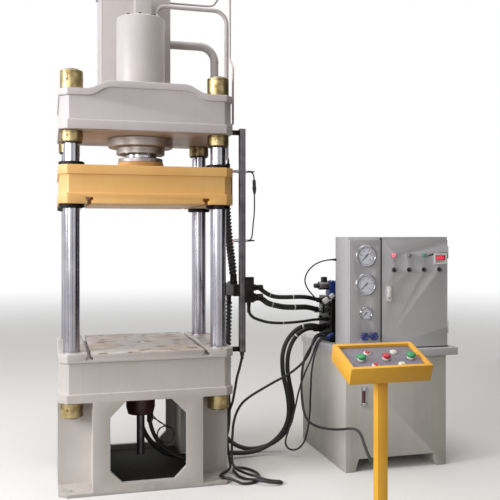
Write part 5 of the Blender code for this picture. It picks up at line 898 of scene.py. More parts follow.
def lock_nut(low, high):
    """A round nut with a groove near its top, chamfers and four pin holes."""
    r = 0.065
    chamfer, groove = 3 * MM, 2 * MM
    band = high - 14 * MM
    outline = [
        (r - chamfer, low), (r, low + chamfer), (r, band), (r - groove, band + 1 * MM), (r - groove, band + 3 * MM),
        (r, band + 4 * MM), (r, high - chamfer), (r - chamfer, high),
    ]
    nut = turned(outline, 64)
    middle = (low + high) / 2
    for angle in (-112, -22, 68, 158):
        hole = placed(
            turned([(6.5 * MM, 0), (6.5 * MM, 0.03)], 20), FACE_RIGHT, shift(r - 9 * MM, 0, middle), turn(angle, "Z")
        )
        carved(nut, hole)
    return nut


def make_columns():
    """Chromed columns with their threads, three lock nuts each and a wiper ring under the middle nut."""
    r = 0.0475
    thread = [(0.0405, 0.4217)]
    for i in range(3):
        thread += [(0.0435, 0.4227 + i * 3 * MM), (0.042, 0.4242 + i * 3 * MM)]
    top = [(0.0435, 2.4105)]
    for i in range(3):
        top += [(0.042, 2.4118 + i * 2.6 * MM), (0.0435, 2.4131 + i * 2.6 * MM)]
    outline = thread + [(0.0435, 0.4317), (r, 0.432), (r, 2.41)] + top + [(0.0405, 2.4203)]
    for side, x in (("left", -COLUMN_X), ("right", COLUMN_X)):
        for end, y in (("front", -COLUMN_Y), ("rear", COLUMN_Y)):
            spot = shift(x, y)
            name = f"{end}_{side}"
            shaft = placed(turned(outline, 64), spot)
            dressed(shaft, f"column_shaft_{name}", HARD_CHROME, "machine", f"column_{name}")
            for label, low, high in (
                ("base", 0.4317, 0.5247), ("under_crown", 2.0037, 2.0677), ("top", 2.2973, 2.4103)
            ):
                nut = placed(lock_nut(low, high), spot)
                dressed(nut, f"{label}_nut_{name}", PASSIVATED)
            wiper = placed(
                turned([(0.049, 1.9945), (0.056, 1.9955), (0.06, 1.999), (0.06, 2.0035), (0.049, 2.0037)], 48), spot
            )
            dressed(wiper, f"wiper_ring_{name}", BLACK_PLASTIC)


def make_body():
    """The welded base with its table, a near-black sheet of painted shade on its floor, and the crown."""
    from_cad(
        "base_frame", "base_with_table", FRAME_PAINT, soft=1.5 * MM, mouldings=(BAND_ROUNDING, TABLE_UNDERSIDE - 1 * MM)
    )
    from_cad("crown_beam", "crown", CROWN_PAINT, soft=1.5 * MM, mouldings=(BAND_ROUNDING, 0))
    # Painted shade: a near-black sheet on the floor inside the base.
    dressed(slab((-0.276, -0.372, 0.02), (0.276, 0.372, 0.0288), 0.5 * MM), "base_floor_painted_shade", FLOOR_SHADE_SHEET)


def make_slide():
    """The slide with its bush flanges, ram and ram flange."""
    from_cad("slide_beam", "slide", SLIDE_PAINT, "slide", soft=1.5 * MM, mouldings=(BAND_ROUNDING, 0))
    spots = [shift(x, y) for x in (-COLUMN_X, COLUMN_X) for y in (-COLUMN_Y, COLUMN_Y)]
    flange = turned([
        (0.0492, 0), (0.0738, 0), (0.0738, 0.0195), (0.0728, 0.0208), (0.056, 0.0208), (0.054, 0.024), (0.0492, 0.024),
    ], 56)
    screws = repeated(socket_screw(0.012, 0.004), round_ring(6, 0.0625, 0.0203, 30))
    flange = joined(flange, screws)
    upper = repeated(flange, [spot @ shift(0, 0, SLIDE_TOP) for spot in spots])
    lower = upper.copy()
    lower.data = upper.data.copy()
    bpy.context.scene.collection.objects.link(lower)
    placed(lower, shift(0, 0, -SLIDE_TOP), Matrix.Scale(-1, 4, (0, 0, 1)), shift(0, 0, SLIDE_BOTTOM))
    dressed(upper, "upper_bush_flanges", BLACK_OXIDE, "slide")
    dressed(lower, "lower_bush_flanges", BLACK_OXIDE, "slide")
    lathe("ram_rod", HARD_CHROME, [(0.097, 1.9203), (0.1, 1.9233), (0.1, 2.6973), (0.097, 2.7003)], 72, "slide", "ram")
    flange = turned(
        [(0.136, 1.9203), (0.138, 1.9223), (0.138, 1.943), (0.136, 1.9453), (0.104, 1.9453), (0.101, 1.9475)], 72
    )
    screws = repeated(socket_screw(0.022, 0.0012), round_ring(8, 0.12, 1.945))
    dressed(joined(flange, screws), "ram_clamp_flange", TURNED_STEEL, "slide", "ram_flange")
    striker = joined(
        slab((0.505, -0.33, 1.7), (0.5134, -0.27, 1.82), 1.0 * MM),
        repeated(hex_screw(0.013, 0.005), [shift(0.513, -0.3, z) @ FACE_RIGHT for z in (1.722, 1.798)]),
    )
    dressed(striker, "striker_plate", ZINC, "slide")


def make_cylinder():
    """The main cylinder through the crown, with its ring nut, gland, head and filling valve."""
    top = CYLINDER_TOP
    lathe(
        "cylinder_barrel", UPPER_PAINT,
        [
            (0.14, 2.069), (0.14, CROWN_TOP), (0.15, CROWN_TOP + 0.0003), (0.15, top - 0.01), (0.1475, top - 0.004),
            (0.143, top - 0.001), (0.138, top),
        ],
        96, "machine", "main_cylinder",
    )
    screws = repeated(socket_screw(0.02, 0.01), round_ring(10, 0.122, top - 0.0005, 10))
    dressed(screws, "cylinder_head_screws", BLACK_OXIDE)
    lathe(
        "cylinder_ring", TURNED_STEEL, [(0.196, 2.0127), (0.2, 2.0167), (0.2, 2.0637), (0.196, 2.0677)], 96, "machine",
        "cylinder_ring_nut",
    )
    gland = turned([
        (0.11, 1.9704), (0.147, 1.9704), (0.15, 1.9734), (0.15, 1.99), (0.1485, 1.991), (0.1485, 1.993), (0.15, 1.994),
        (0.15, 2.0094), (0.147, 2.0124),
    ], 96)
    screws = repeated(
        socket_screw(0.018, 0.0038), [spot @ turn(180, "X") for spot in round_ring(12, 0.133, 1.9706, 15)]
    )
    dressed(joined(gland, screws), "gland_ring", TURNED_STEEL, "machine", "cylinder_gland")
    lathe("rod_wiper", BLACK_PLASTIC, [(0.1015, 1.9681), (0.108, 1.9684), (0.112, 1.9706)], 64)
    x = 0.012
    foot = placed(
        turned([(0.063, 0), (0.065, 0.002), (0.065, 0.012), (0.063, 0.014)], 48), shift(x, 0, CYLINDER_TOP + 0.0003)
    )
    block = slab((x - 0.052, -0.052, CYLINDER_TOP + 0.0133), (x + 0.052, 0.052, 3.0006), 4 * MM, 3)
    neck = placed(
        turned([(0.04, 0.045), (0.04, 0.15), (0.052, 0.1505), (0.052, 0.169)], 40), turn(-90, "X"),
        shift(x, 0, CYLINDER_TOP + 0.1103),
    )
    dressed(joined(foot, block, neck), "prefill_valve", UPPER_PAINT, "machine", "filling_valve")
    cap = [shift(x + dx, dy, 3.0004) for dx in (-0.036, 0.036) for dy in (-0.036, 0.036)]
    side = [shift(x, 0, CYLINDER_TOP + 0.014) @ spot for spot in round_ring(4, 0.0585, 0.0, 45)]
    screws = repeated(socket_screw(0.015, 0.009), cap)
    low_screws = repeated(socket_screw(0.009, 0.006), side)
    dressed(joined(screws, low_screws), "prefill_valve_screws", BLACK_OXIDE)


def make_tank_above():
    """The filling tank behind the cylinder, with its lid, screws and breather."""
    left, right, front, back = -0.23, 0.214, 0.17, 0.57
    low, high = 2.3493, 3.0893
    shell = slab((left, front, low), (right, back, high), 5 * MM, 3)
    dressed(shell, "filling_tank_shell", UPPER_PAINT, "machine", "filling_tank")
    lid = slab((left - 0.012, front - 0.012, high - 0.003), (right + 0.012, back + 0.012, high + 0.014), 2 * MM)
    dressed(lid, "filling_tank_lid", UPPER_PAINT)
    spots = []
    for i in range(5):
        x = left + 0.01 + (right - left - 0.02) * i / 4
        spots += [shift(x, front + 0.004, high + 0.0138), shift(x, back - 0.004, high + 0.0138)]
    for i in range(1, 4):
        y = front + 0.004 + (back - front - 0.008) * i / 4
        spots += [shift(left + 0.01, y, high + 0.0138), shift(right - 0.01, y, high + 0.0138)]
    dressed(repeated(hex_screw(0.013, 0.006), spots), "filling_tank_lid_screws", ZINC)
    outline = [(0.02, 3.103), (0.02, 3.11), (0.025, 3.1105)]
    for i in range(5):
        outline += [
            (0.025, 3.114 + i * 5 * MM), (0.0232, 3.1155 + i * 5 * MM), (0.0232, 3.117 + i * 5 * MM),
            (0.025, 3.1185 + i * 5 * MM),
        ]
    outline += [(0.025, 3.144), (0.021, 3.148)]
    breather = placed(turned(outline, 40), shift(-0.008, 0.37))
    dressed(breather, "filling_tank_breather", BLACK_PLASTIC)
    beads = [
        tube([Vector(p) for p in ((x, y, low + 0.004), (x, y, high - 0.005))], 6 * MM, 2)
        for x in (left + 0.002, right - 0.002)
        for y in (front + 0.002, back - 0.002)
    ]
    dressed(joined(*beads), "filling_tank_corner_welds", UPPER_PAINT)
    foot = [
        Vector(p)
        for p in (
            (left, front, low + 0.002), (right, front, low + 0.002), (right, back, low + 0.002),
            (left, back, low + 0.002), (left, front, low + 0.002),
        )
    ]
    dressed(tube(foot, 9 * MM, 2), "filling_tank_foot_weld", UPPER_PAINT)


def bent_route(corners, bend, steps=12):
    """A route with its corners rounded to a bend radius."""
    spots = [Vector(corner) for corner in corners]
    route = [spots[0]]
    for before, corner, after in zip(spots, spots[1:], spots[2:]):
        into, out = (corner - before).normalized(), (after - corner).normalized()
        angle = into.angle(out)
        reach = bend * math.tan(angle / 2)
        start = corner - into * reach
        centre = start + (out - into * out.dot(into)).normalized() * bend
        arm = start - centre
        axis = into.cross(out).normalized()
        for step in range(steps + 1):
            route.append(centre + Matrix.Rotation(angle * step / steps, 3, axis) @ arm)
    return [*route, spots[-1]]


def flange_ring(pipe, thickness=0.01):
    """A welded socket flange round a pipe, with its bead."""
    r = pipe / 2
    return turned([
        (r * 1.4, 0), (r * 1.45, 0.001), (r * 1.45, thickness), (r * 1.15, thickness + 0.002),
        (r * 1.02, thickness + 0.006),
    ], 36)


def pipe_bead(spot):
    """A weld bead round the return line."""
    return placed(
        turned([(0.0272, -0.003), (0.0293, -0.0015), (0.0297, 0), (0.0293, 0.0015), (0.0272, 0.003)], 32), spot
    )


def make_pipes():
    """Bent and welded pipes: the large return, the pressure line and the thin leak-off line."""
    start, corner, end = [(x, RETURN_Y, z) for x, z in ((TANK_SIDE, RETURN_Z), (RETURN_X, RETURN_Z), (RETURN_X, 0.42))]
    pipe = tube(bent_route([start, corner, end], 0.1, 20), 0.055, 8)
    beads = [pipe_bead(shift(0.436, RETURN_Y, RETURN_Z) @ FACE_RIGHT)]
    beads += [pipe_bead(shift(RETURN_X, RETURN_Y, z)) for z in (2.65, 1.56)]
    flange = placed(flange_ring(0.055), FACE_RIGHT, shift(*start))
    dressed(joined(pipe, *beads, flange), "return_line", UPPER_PAINT, "machine", "return_pipe")
    first = bent_route([(0.1, 0, 2.8236), (0.1, 0, RISER_Z), (0.33, 0, RISER_Z)], 0.054, 14)
    second = bent_route([(0.33, 0, RISER_Z), (RISER_X, 0, RISER_Z), (RISER_X, 0, 1.933)], 0.085, 18)
    pipe = tube(first[:-1] + second, 0.027, 6)
    dressed(pipe, "pressure_line", UPPER_PAINT, "machine", "pressure_pipe")
    nut = turned([(0.0165, 0), (0.0196, 0.002), (0.0196, 0.022), (0.018, 0.024)], 6)
    ring = turned([(0.0172, 0.023), (0.0172, 0.034), (0.015, 0.04)], 28)
    unions = repeated(joined(nut, ring), [shift(0.1, 0, 2.8206), shift(RISER_X, 0, 1.93)])
    dressed(unions, "pressure_line_unions", ZINC)
    side, high, low = 0.525, 3.03, 2.137
    corners = [(TANK_SIDE, RETURN_Y, high), (side, RETURN_Y, high), (side, -0.21, high), (side, -0.21, 2.56)]
    corners += [(side, -0.29, 2.49), (side, -0.29, low), (0.5053, -0.29, low)]
    route = [Vector(corners[0])]
    for i, bend in enumerate((0.045, 0.045, 0.045, 0.045, 0.018)):
        route += bent_route(corners[i : i + 3], bend, 8)[1:-1]
    route.append(Vector(corners[-1]))
    pipe = tube(route, 0.014, 5)
    dressed(pipe, "leak_off_line", UPPER_PAINT, "machine", "leak_off_pipe")
    collars = [
        placed(flange_ring(0.014, 0.004), FACE_RIGHT, shift(TANK_SIDE, RETURN_Y, high)),
        placed(flange_ring(0.014, 0.004), turn(-90, "Y"), shift(0.518, -0.29, low)),
    ]
    dressed(joined(*collars), "leak_off_line_fittings", ZINC)


def make_ejector():
    """The ejector cylinder under the table and its rod."""
    lathe(
        "ejector_barrel", EJECTOR_PAINT,
        [
            (0.079, 0.3577), (0.0895, 0.396), (0.09, 0.399), (0.09, 0.499), (0.094, 0.5007), (0.107, 0.5007),
            (0.108, 0.502), (0.108, 0.5247),
        ],
        64, "machine", "ejector_cylinder",
    )
    screws = repeated(hex_screw(0.014, 0.007), [spot @ turn(180, "X") for spot in round_ring(8, 0.099, 0.501, 22.5)])
    collar = placed(
        turned([(0.0255, 0), (0.036, 0), (0.036, -0.006), (0.031, -0.012), (0.0255, -0.012)], 40), shift(0, 0, 0.358)
    )
    dressed(joined(screws, collar), "ejector_screws", BLACK_OXIDE)
    lathe(
        "ejector_pin", POST_STEEL, [(0.022, 0.1), (0.025, 0.103), (0.025, 0.792), (0.022, 0.795)], 48, "ejector",
        "ejector_rod",
    )


def make_post():
    """The drawn channel with its brackets, two proximity sensors and the hose bulkhead."""
    half, inner = 0.018, 0.014
    outline = [(half, -half), (-half, -half), (-half, half), (half, half)]
    outline += [(half, inner), (-inner, inner), (-inner, -inner), (half, -inner)]
    channel = placed(cut_sheet(outline, POST_HEAD - POST_FOOT, 0.0012), shift(POST_X, POST_Y, POST_FOOT))
    dressed(channel, "switch_post_channel", POST_STEEL, "machine", "switch_post")
    brackets, bolts = [], []
    for z in (2.0945, 0.776):
        brackets.append(
            slab((0.5053, POST_Y + 0.015, z - 0.015), (POST_X + half, POST_Y + 0.0262, z + 0.015), 1.0 * MM)
        )
        bolts += [shift(x, POST_Y + 0.0262, z) @ turn(-90, "X") for x in (0.53, POST_X)]
    brackets.append(slab((POST_X - half, POST_Y - half, POST_FOOT), (POST_X + half, POST_Y + half, 0.7642), 0.6 * MM))
    brackets.append(repeated(hex_screw(0.01, 0.005), bolts))
    dressed(joined(*brackets), "switch_post_brackets", BLACK_OXIDE)
    for label, z in (("upper", 1.857), ("lower", 1.437)):
        spot = shift(0.5213, POST_Y, z) @ FACE_RIGHT
        barrel = [(0.0078, 0.0), (0.009, 0.001)]
        for i in range(24):
            barrel += [(0.009, 0.004 + i * 3 * MM), (0.0083, 0.0055 + i * 3 * MM)]
        barrel += [(0.009, 0.078), (0.009, 0.0895)]
        lathe(f"{label}_sensor_barrel", ZINC, barrel, 24, at=spot)
        nuts = [
            placed(turned([(0.012, low), (0.0136, low + 0.001), (0.0136, low + 0.005), (0.012, low + 0.006)], 6), spot)
            for low in (0.0345, 0.0767)
        ]
        dressed(joined(*nuts), f"{label}_sensor_nuts", ZINC)
        tip = placed(turned([(0.008, -0.0005), (0.0086, 0.0), (0.0086, 0.003), (0.008, 0.0035)], 24), spot)
        dressed(tip, f"{label}_sensor_face", RED_PLASTIC)
    block = slab((0.595, -0.328, 1.06), (0.648, -0.272, 1.215), 1.5 * MM)
    bar = slab((0.522, -0.318, 1.1), (0.5645, -0.08, 1.17), 1.5 * MM)
    screws = repeated(
        socket_screw(0.012, 0.007),
        [shift(0.6215, -0.328, z) @ FACE_FRONT for z in (1.074, 1.2)] + [
            shift(0.543, y, 1.17) for y in (-0.29, -0.15, -0.1)
        ],
    )
    dressed(joined(block, bar, screws), "hose_bulkhead", BLACK_OXIDE)


# The power unit


def make_oil_tank():
    """The oil tank on folded feet, with its clean-out cover, drain and level gauge."""
    left, right, front, back, top = 1.213, 1.905, UNIT_FRONT, 0.4, UNIT_TOP
    body = slab((left, front, 0), (right, back, top))
    gap = placed(
        cut_sheet([(left + 0.061, -0.02), (right - 0.061, -0.02), (right - 0.09, 0.078), (left + 0.09, 0.078)], 0.9),
        FACE_FRONT, shift(0, 0.45, 0),
    )
    carved(body, gap)
    dressed(softened(body, 3 * MM, 3), "oil_tank_body", TANK_PAINT, "machine", "oil_tank")
    cover = placed(turned([(0.12, 0), (0.12, 0.006), (0.116, 0.008)], 56), FACE_RIGHT, shift(right, 0.05, 0.36))
    screws = repeated(
        hex_screw(0.016, 0.007), [shift(right + 0.008, 0.05, 0.36) @ FACE_RIGHT @ spot for spot in round_ring(8, 0.104)]
    )
    dressed(joined(cover, screws), "oil_tank_cleanout", TANK_PAINT)
    plug = placed(hex_screw(0.03, 0.012), FACE_RIGHT, shift(right, -0.3, 0.105))
    dressed(plug, "oil_tank_drain_plug", ZINC)
    x0, x1, z0, z1, y = 1.319, 1.349, 0.408, 0.526, front
    blocks = [slab((x0, y - 0.0142, z), (x1, y, z + 0.022), 2 * MM) for z in (z0, z1 - 0.022)]
    blocks.append(slab((x0, y - 0.006, z0), (x0 + 0.004, y, z1), 1 * MM))
    blocks.append(slab((x1 - 0.004, y - 0.006, z0), (x1, y, z1), 1 * MM))
    blocks.append(
        repeated(hex_screw(0.012, 0.005), [shift(1.334, y - 0.01, z) @ FACE_FRONT for z in (z0 + 0.011, z1 - 0.011)])
    )
    dressed(joined(*blocks), "level_gauge_frame", CHROME)
    sight = placed(turned([(0.01, z0 + 0.02), (0.01, z1 - 0.02)], 24), shift(1.334, y - 0.004, 0))
    dressed(sight, "level_gauge_tube", OIL)


def make_lid():
    """The lid with its edge folded down, its screws and the filler cap behind the cabinet."""
    lid = slab((1.205, -0.43, 0.7053), (1.974, 0.41, LID_TOP), 3 * MM, 3)
    dressed(lid, "oil_tank_lid", UNIT_PAINT, "machine", "tank_lid")
    spots = [shift(x, y, LID_TOP - 0.0004) for x in (1.226, 1.59, 1.952) for y in (-0.412, 0.392)]
    spots += [shift(1.952, y, LID_TOP - 0.0004) for y in (-0.15, 0.13)]
    dressed(repeated(hex_screw(0.013, 0.006), spots), "tank_lid_screws", ZINC)
    cap = [
        (0.036, 0), (0.036, 0.012), (0.03, 0.014), (0.03, 0.03), (0.042, 0.032), (0.044, 0.036), (0.044, 0.06),
        (0.038, 0.066),
    ]
    dressed(placed(turned(cap, 40), shift(1.83, 0.3, LID_TOP)), "filler_breather", BLACK_PLASTIC)


def make_cabinet():
    """The cabinet shell, its equipment, its side vents and black strips that paint the shade in the gaps round the
    door.
    """
    from_cad("cabinet_shell", "cabinet", UNIT_PAINT, soft=1.2 * MM)
    panel_right, right, back = 1.462, 1.931, -0.153
    middle = (panel_right + right) / 2
    face, foot, tall = back - 0.01, LID_TOP + 0.0833, 0.54
    plate = slab(
        (middle - 0.1805, face - 0.0006, foot - 0.0005), (middle + 0.1805, face, foot + tall + 0.0005), 0.3 * MM
    )
    dressed(plate, "equipment_plate", GALVANISED)
    row = foot + tall - 0.08 - 0.06
    for i in range(5):
        at = middle + (i - 2) * 0.06
        low = slab((at - 0.023, face - 0.0605, row - 0.0005), (at + 0.023, face, row + 0.0805), 1.5 * MM)
        nose = slab((at - 0.015, face - 0.07, row + 0.018), (at + 0.015, face - 0.06, row + 0.062), 1.5 * MM)
        dressed(joined(low, nose), f"contactor_{i + 1}", BLACK_PLASTIC)
        spots = [
            shift(at + dx, face - 0.0604, z) @ FACE_FRONT
            for dx in (-0.014, 0, 0.014)
            for z in (row + 0.008, row + 0.072)
        ]
        dressed(repeated(socket_screw(0.006, 0.002), spots), f"contactor_{i + 1}_screws", ZINC)
    strip = slab((middle - 0.1505, face - 0.0355, foot + 0.0295), (middle + 0.1505, face, foot + 0.0705), 1 * MM)
    grooves = [
        slab(
            (middle - 0.148 + i * 0.01, face - 0.04, foot + 0.026),
            (middle - 0.1472 + i * 0.01, face - 0.03, foot + 0.075),
        )
        for i in range(0, 30, 2)
    ]
    whole = grooves[0]
    for groove in grooves[1:]:
        whole = joined(whole, groove)
    dressed(carved(strip, whole), "terminal_strip", CREAM_PLASTIC)
    left = middle - 0.18 + 0.0035
    drive = slab((left, face - 0.0805, foot + 0.1195), (left + 0.141, face, foot + 0.2705), 3 * MM, 3)
    window = slab((left + 0.03, face - 0.0815, foot + 0.215), (left + 0.11, face - 0.08, foot + 0.25), 0.6 * MM)
    dressed(drive, "control_unit", DARK_LAMP)
    dressed(window, "control_unit_window", BLACK_PLASTIC)
    louvres = []
    for i in range(8):
        z = 1.23 + i * 0.018
        louvres.append(
            placed(turned([(0.0045, 0), (0.0045, 0.12)], 12), turn(90, "X"), shift(right - 0.0025, -0.19, z))
        )
    dressed(joined(*louvres), "cabinet_louvres", UNIT_PAINT)
    # Painted shade: black strips beside and under the door stand for the shade in its gaps.
    edge = slab(
        (panel_right - 0.0065, CABINET_FRONT - 0.0012, 0.756), (panel_right + 0.001, CABINET_FRONT + 0.01, 1.454),
        0.5 * MM,
    )
    gap_shade_under_door = slab(
        (panel_right, CABINET_FRONT - 0.0006, 0.753), (right - 0.001, CABINET_FRONT + 0.01, 0.7588), 0.4 * MM
    )
    dressed(joined(edge, gap_shade_under_door), "door_gap_shade_strips", HOSE)


def on_panel(x, z):
    """The spot on the gauge panel's or the door's face."""
    return shift(x, CABINET_FRONT, z)


def dial_mark(angle, inner, outer, width, height):
    """One printed line of a dial, pointing to its centre."""
    line = slab((-width / 2, inner, height - 0.0002), (width / 2, outer, height + 0.00015))
    return placed(line, turn(angle, "Z"))


def dial_number(text, angle, radius, size, height):
    bpy.ops.object.text_add(location=(0, 0, 0))
    number = bpy.context.object
    number.data.body = text
    number.data.size = size
    number.data.align_x = number.data.align_y = "CENTER"
    number.data.extrude = 0.0001
    bpy.ops.object.convert(target="MESH")
    number = bpy.context.object
    turned_back = turn(angle, "Z") @ Vector((0, radius, 0))
    return placed(number, shift(*turned_back) @ shift(0, 0, height))


GAUGES = {  # each gauge's middle on the panel and its radius
    "contact": (1.355, 1.3396, 0.068),
    "system": (1.353, 1.1616, 0.068),
    "pilot": (1.353, 0.9826, 0.041),
}


def make_gauges():
    """Chromed pressure gauges with rolled bezels, printed dials, glass and pointers."""
    for kind, (x, z, r) in GAUGES.items():
        name = kind + "_gauge"
        spot = on_panel(x, z) @ FACE_FRONT
        lathe(
            name + "_case", CHROME,
            [
                (0.78 * r, -0.03), (0.78 * r, 0.0), (0.97 * r, 0.0002), (0.995 * r, 0.0015), (0.995 * r, 0.0065),
                (0.97 * r, 0.0082), (0.945 * r, 0.009), (0.945 * r, 0.014), (0.925 * r, 0.0168), (0.895 * r, 0.0178),
                (0.865 * r, 0.0176), (0.84 * r, 0.0166), (0.825 * r, 0.015), (0.82 * r, 0.0082),
            ],
            72, "machine", name, at=spot,
        )
        lathe(name + "_dial", DIAL_WHITE, [(0.815 * r, 0.0081), (0.815 * r, 0.0088), (0.8 * r, 0.009)], 64, at=spot)
        marks = []
        for i in range(51):
            angle = 135 - 270 * i / 50
            major = i % 5 == 0
            marks.append(
                dial_mark(angle, (0.64 if major else 0.69) * r, 0.75 * r, (0.022 if major else 0.009) * r, 0.0091)
            )
        for i in range(6):
            marks.append(dial_number(str(5 * i), 135 - 54 * i, 0.52 * r, 0.17 * r, 0.0091))
        marks.append(
            carved(
                turned([(0.768 * r, 0.0089), (0.768 * r, 0.00925)], 64),
                turned([(0.752 * r, 0.008), (0.752 * r, 0.01)], 64),
            )
        )
        dressed(placed(joined(*marks), spot), name + "_marks", DIAL_BLACK)
        lathe(name + "_glass", GLASS, [(0.818 * r, 0.0132), (0.818 * r, 0.0146)], 56, at=spot)
        reach, tail, root, tip = 0.66 * r, 0.26 * r, 0.0026, 0.0006
        needle = [(-root * 1.2, -tail), (root * 1.2, -tail), (root, -tail * 0.3), (root, 0.15 * r)]
        needle += [(tip, reach), (-tip, reach), (-root, 0.15 * r), (-root, -tail * 0.3)]
        pointer = placed(cut_sheet(needle, 0.0014, 0.0002), shift(0, 0, 0.01))
        hub = turned([(0.085 * r, 0.01), (0.085 * r, 0.0118), (0.06 * r, 0.0121)], 28)
        pointer = placed(joined(pointer, hub), turn(135, "Z"), spot)
        dressed(pointer, kind + "_pointer_needle", POINTER_BLUE, "pointer_" + kind, kind + "_pointer")
    x, z, r = GAUGES["contact"]
    for label, angle, finish in (("low", 80, GREEN_PLASTIC), ("high", -62, RED_PLASTIC)):
        hand = cut_sheet(
            [(-0.001, 0.3 * r), (0.001, 0.3 * r), (0.0016, 0.6 * r), (0, 0.68 * r), (-0.0016, 0.6 * r)], 0.0003
        )
        dressed(
            placed(hand, shift(0, 0, 0.0094), turn(angle, "Z"), on_panel(x, z) @ FACE_FRONT),
            f"contact_gauge_{label}_limit", finish,
        )


def make_knobs():
    """Scalloped needle-valve knobs."""
    for label, (x, z) in (("left", (1.339, 0.8396)), ("right", (1.4, 0.8396))):
        r = 0.0252
        knob = turned([
            (0.0125, 0.014), (0.016, 0.0146), (r, 0.018), (r, 0.032), (0.0225, 0.036), (0.015, 0.0362), (0.014, 0.0346),
            (0.009, 0.0346),
        ], 72)
        for vertex in knob.data.vertices:
            at = vertex.co
            radius = math.hypot(at.x, at.y)
            if radius > 0.018:
                swell = 1 + 0.085 * math.cos(6 * math.atan2(at.y, at.x)) * (radius - 0.018) / (r - 0.018)
                at.x *= swell
                at.y *= swell
        softened(knob, 0.8 * MM, 2, 40)
        stem = turned([(0.006, -0.01), (0.006, 0.015)], 24)
        spot = on_panel(x, z) @ FACE_FRONT
        dressed(
            placed(joined(knob, stem), spot), f"needle_valve_knob_{label}", BLUE_PLASTIC, f"knob_{label}",
            f"gauge_knob_{label}",
        )
        lathe(
            f"needle_valve_bonnet_{label}", ZINC, [(0.0095, 0.0), (0.011, 0.0005), (0.011, 0.006), (0.0085, 0.0085)], 6,
            at=spot,
        )


SELECTORS = {
    "selector_1": ("selector_a", 1.548),
    "selector_2": ("selector_b", 1.652),
    "selector_3": ("selector_c", 1.755),
    "selector_4": ("selector_d", 1.864),
}
SELECTOR_Z = 1.2506
LAMPS = (("red", 1.544, 1.3426, RED_LAMP), ("grey", 1.652, 1.3406, DARK_LAMP), ("green", 1.754, 1.3406, GREEN_LAMP))


def make_door():
    """The folded door with its lamps, selectors, display and lock."""
    from_cad("cabinet_door", "door_panel", UNIT_PAINT, "door", soft=1.0 * MM)
    for node, (body, x) in SELECTORS.items():
        spot = on_panel(x, SELECTOR_Z) @ FACE_FRONT
        lathe(
            node + "_bezel", BLACK_PLASTIC,
            [(0.0118, 0.0004), (0.0149, 0.0004), (0.0149, 0.0052), (0.014, 0.0064), (0.0125, 0.0064), (0.0118, 0.005)],
            40, "door", at=spot,
        )
        disc = turned([(0.009, -0.012), (0.011, -0.01), (0.011, 0.0072), (0.0102, 0.008)], 36)
        grip = slab((-0.0035, -0.0105, 0.0075), (0.0035, 0.0105, 0.02), 1.2 * MM, 3)
        dressed(placed(joined(disc, grip), spot), node + "_grip", BLACK_PLASTIC, body, node)
        mark = slab((-0.0006, 0.003, 0.0199), (0.0006, 0.0098, 0.0202))
        dressed(placed(mark, spot), node + "_mark", WHITE_PLASTIC, body)
    for label, x, z, finish in LAMPS:
        spot = on_panel(x, z) @ FACE_FRONT
        lathe(
            f"{label}_lamp_bezel", CHROME,
            [(0.0128, 0.0002), (0.0149, 0.0002), (0.0149, 0.0036), (0.0138, 0.0062), (0.0128, 0.0062)], 40, "door",
            at=spot,
        )
        lens = [(0.013, 0.004), (0.013, 0.008), (0.0121, 0.0108), (0.0104, 0.0127), (0.008, 0.0139), (0.005, 0.0145)]
        lathe(f"{label}_lamp_lens", finish, lens, 36, "door", at=spot)
    cx, cz, w, h = 1.872, 1.3176, 0.0925, 0.0705
    y = CABINET_FRONT
    frame_piece = slab((cx - w / 2, y - 0.0064, cz - h / 2), (cx + w / 2, y + 0.0005, cz + h / 2), 1.6 * MM, 3)
    opening = slab(
        (cx - w / 2 + 0.012, y - 0.02, cz - h / 2 + 0.012), (cx + w / 2 - 0.012, y - 0.0035, cz + h / 2 - 0.012)
    )
    dressed(softened(carved(frame_piece, opening), 0.4 * MM), "display_frame", WHITE_PLASTIC, "door")
    window = slab(
        (cx - w / 2 + 0.011, y - 0.0042, cz - 0.01), (cx + w / 2 - 0.011, y - 0.0034, cz + h / 2 - 0.011), 0.2 * MM
    )
    dressed(window, "display_window", DISPLAY_RED, "door")
    digits = []
    for i in range(4):
        x0 = cx - 0.0275 + i * 0.014
        for dx, dz, sx, sz in (
            (0, 0, 0.008, 0.0018), (0, 0.016, 0.008, 0.0018), (0, 0, 0.0018, 0.0178), (0.0062, 0, 0.0018, 0.0178)
        ):
            digits.append(
                slab((x0 + dx, y - 0.0046, cz - 0.003 + dz), (x0 + dx + sx, y - 0.0041, cz - 0.003 + dz + sz))
            )
    dressed(joined(*digits), "display_digits", DISPLAY_DIGITS, "door")
    keys = [
        slab(
            (cx - 0.03 + i * 0.0165, y - 0.005, cz - 0.0215), (cx - 0.019 + i * 0.0165, y - 0.0032, cz - 0.014),
            0.8 * MM,
        )
        for i in range(4)
    ]
    dressed(joined(*keys), "display_keys", GREEN_LAMP, "door")
    plate = slab((1.491, y - 0.0083, 1.0536), (1.529, y + 0.0005, 1.1496), 3.4 * MM, 4)
    dressed(plate, "lock_plate", BRUSHED_NICKEL, "door")
    pivot = (1.51, 1.0756)
    spot = on_panel(*pivot) @ FACE_FRONT
    lever = [(0.009 * math.sin(a), -0.009 * math.cos(a)) for a in [math.pi * (i / 12 * 2 - 0.5) for i in range(7)]]
    lever += [(0.009, 0.048), (0.0075, 0.051), (-0.0075, 0.051), (-0.009, 0.048)]
    handle = placed(cut_sheet(lever, 0.008, 1.2 * MM), shift(0, 0, 0.0085))
    stem = turned([(0.005, -0.003), (0.005, 0.01)], 24)
    dressed(placed(joined(handle, stem), spot), "lock_lever", BRUSHED_NICKEL, "lock", "door_lock")
    lathe("lock_cylinder", BLACK_OXIDE, [(0.0042, 0.0155), (0.0042, 0.0168), (0.0036, 0.017)], 24, "lock", at=spot)


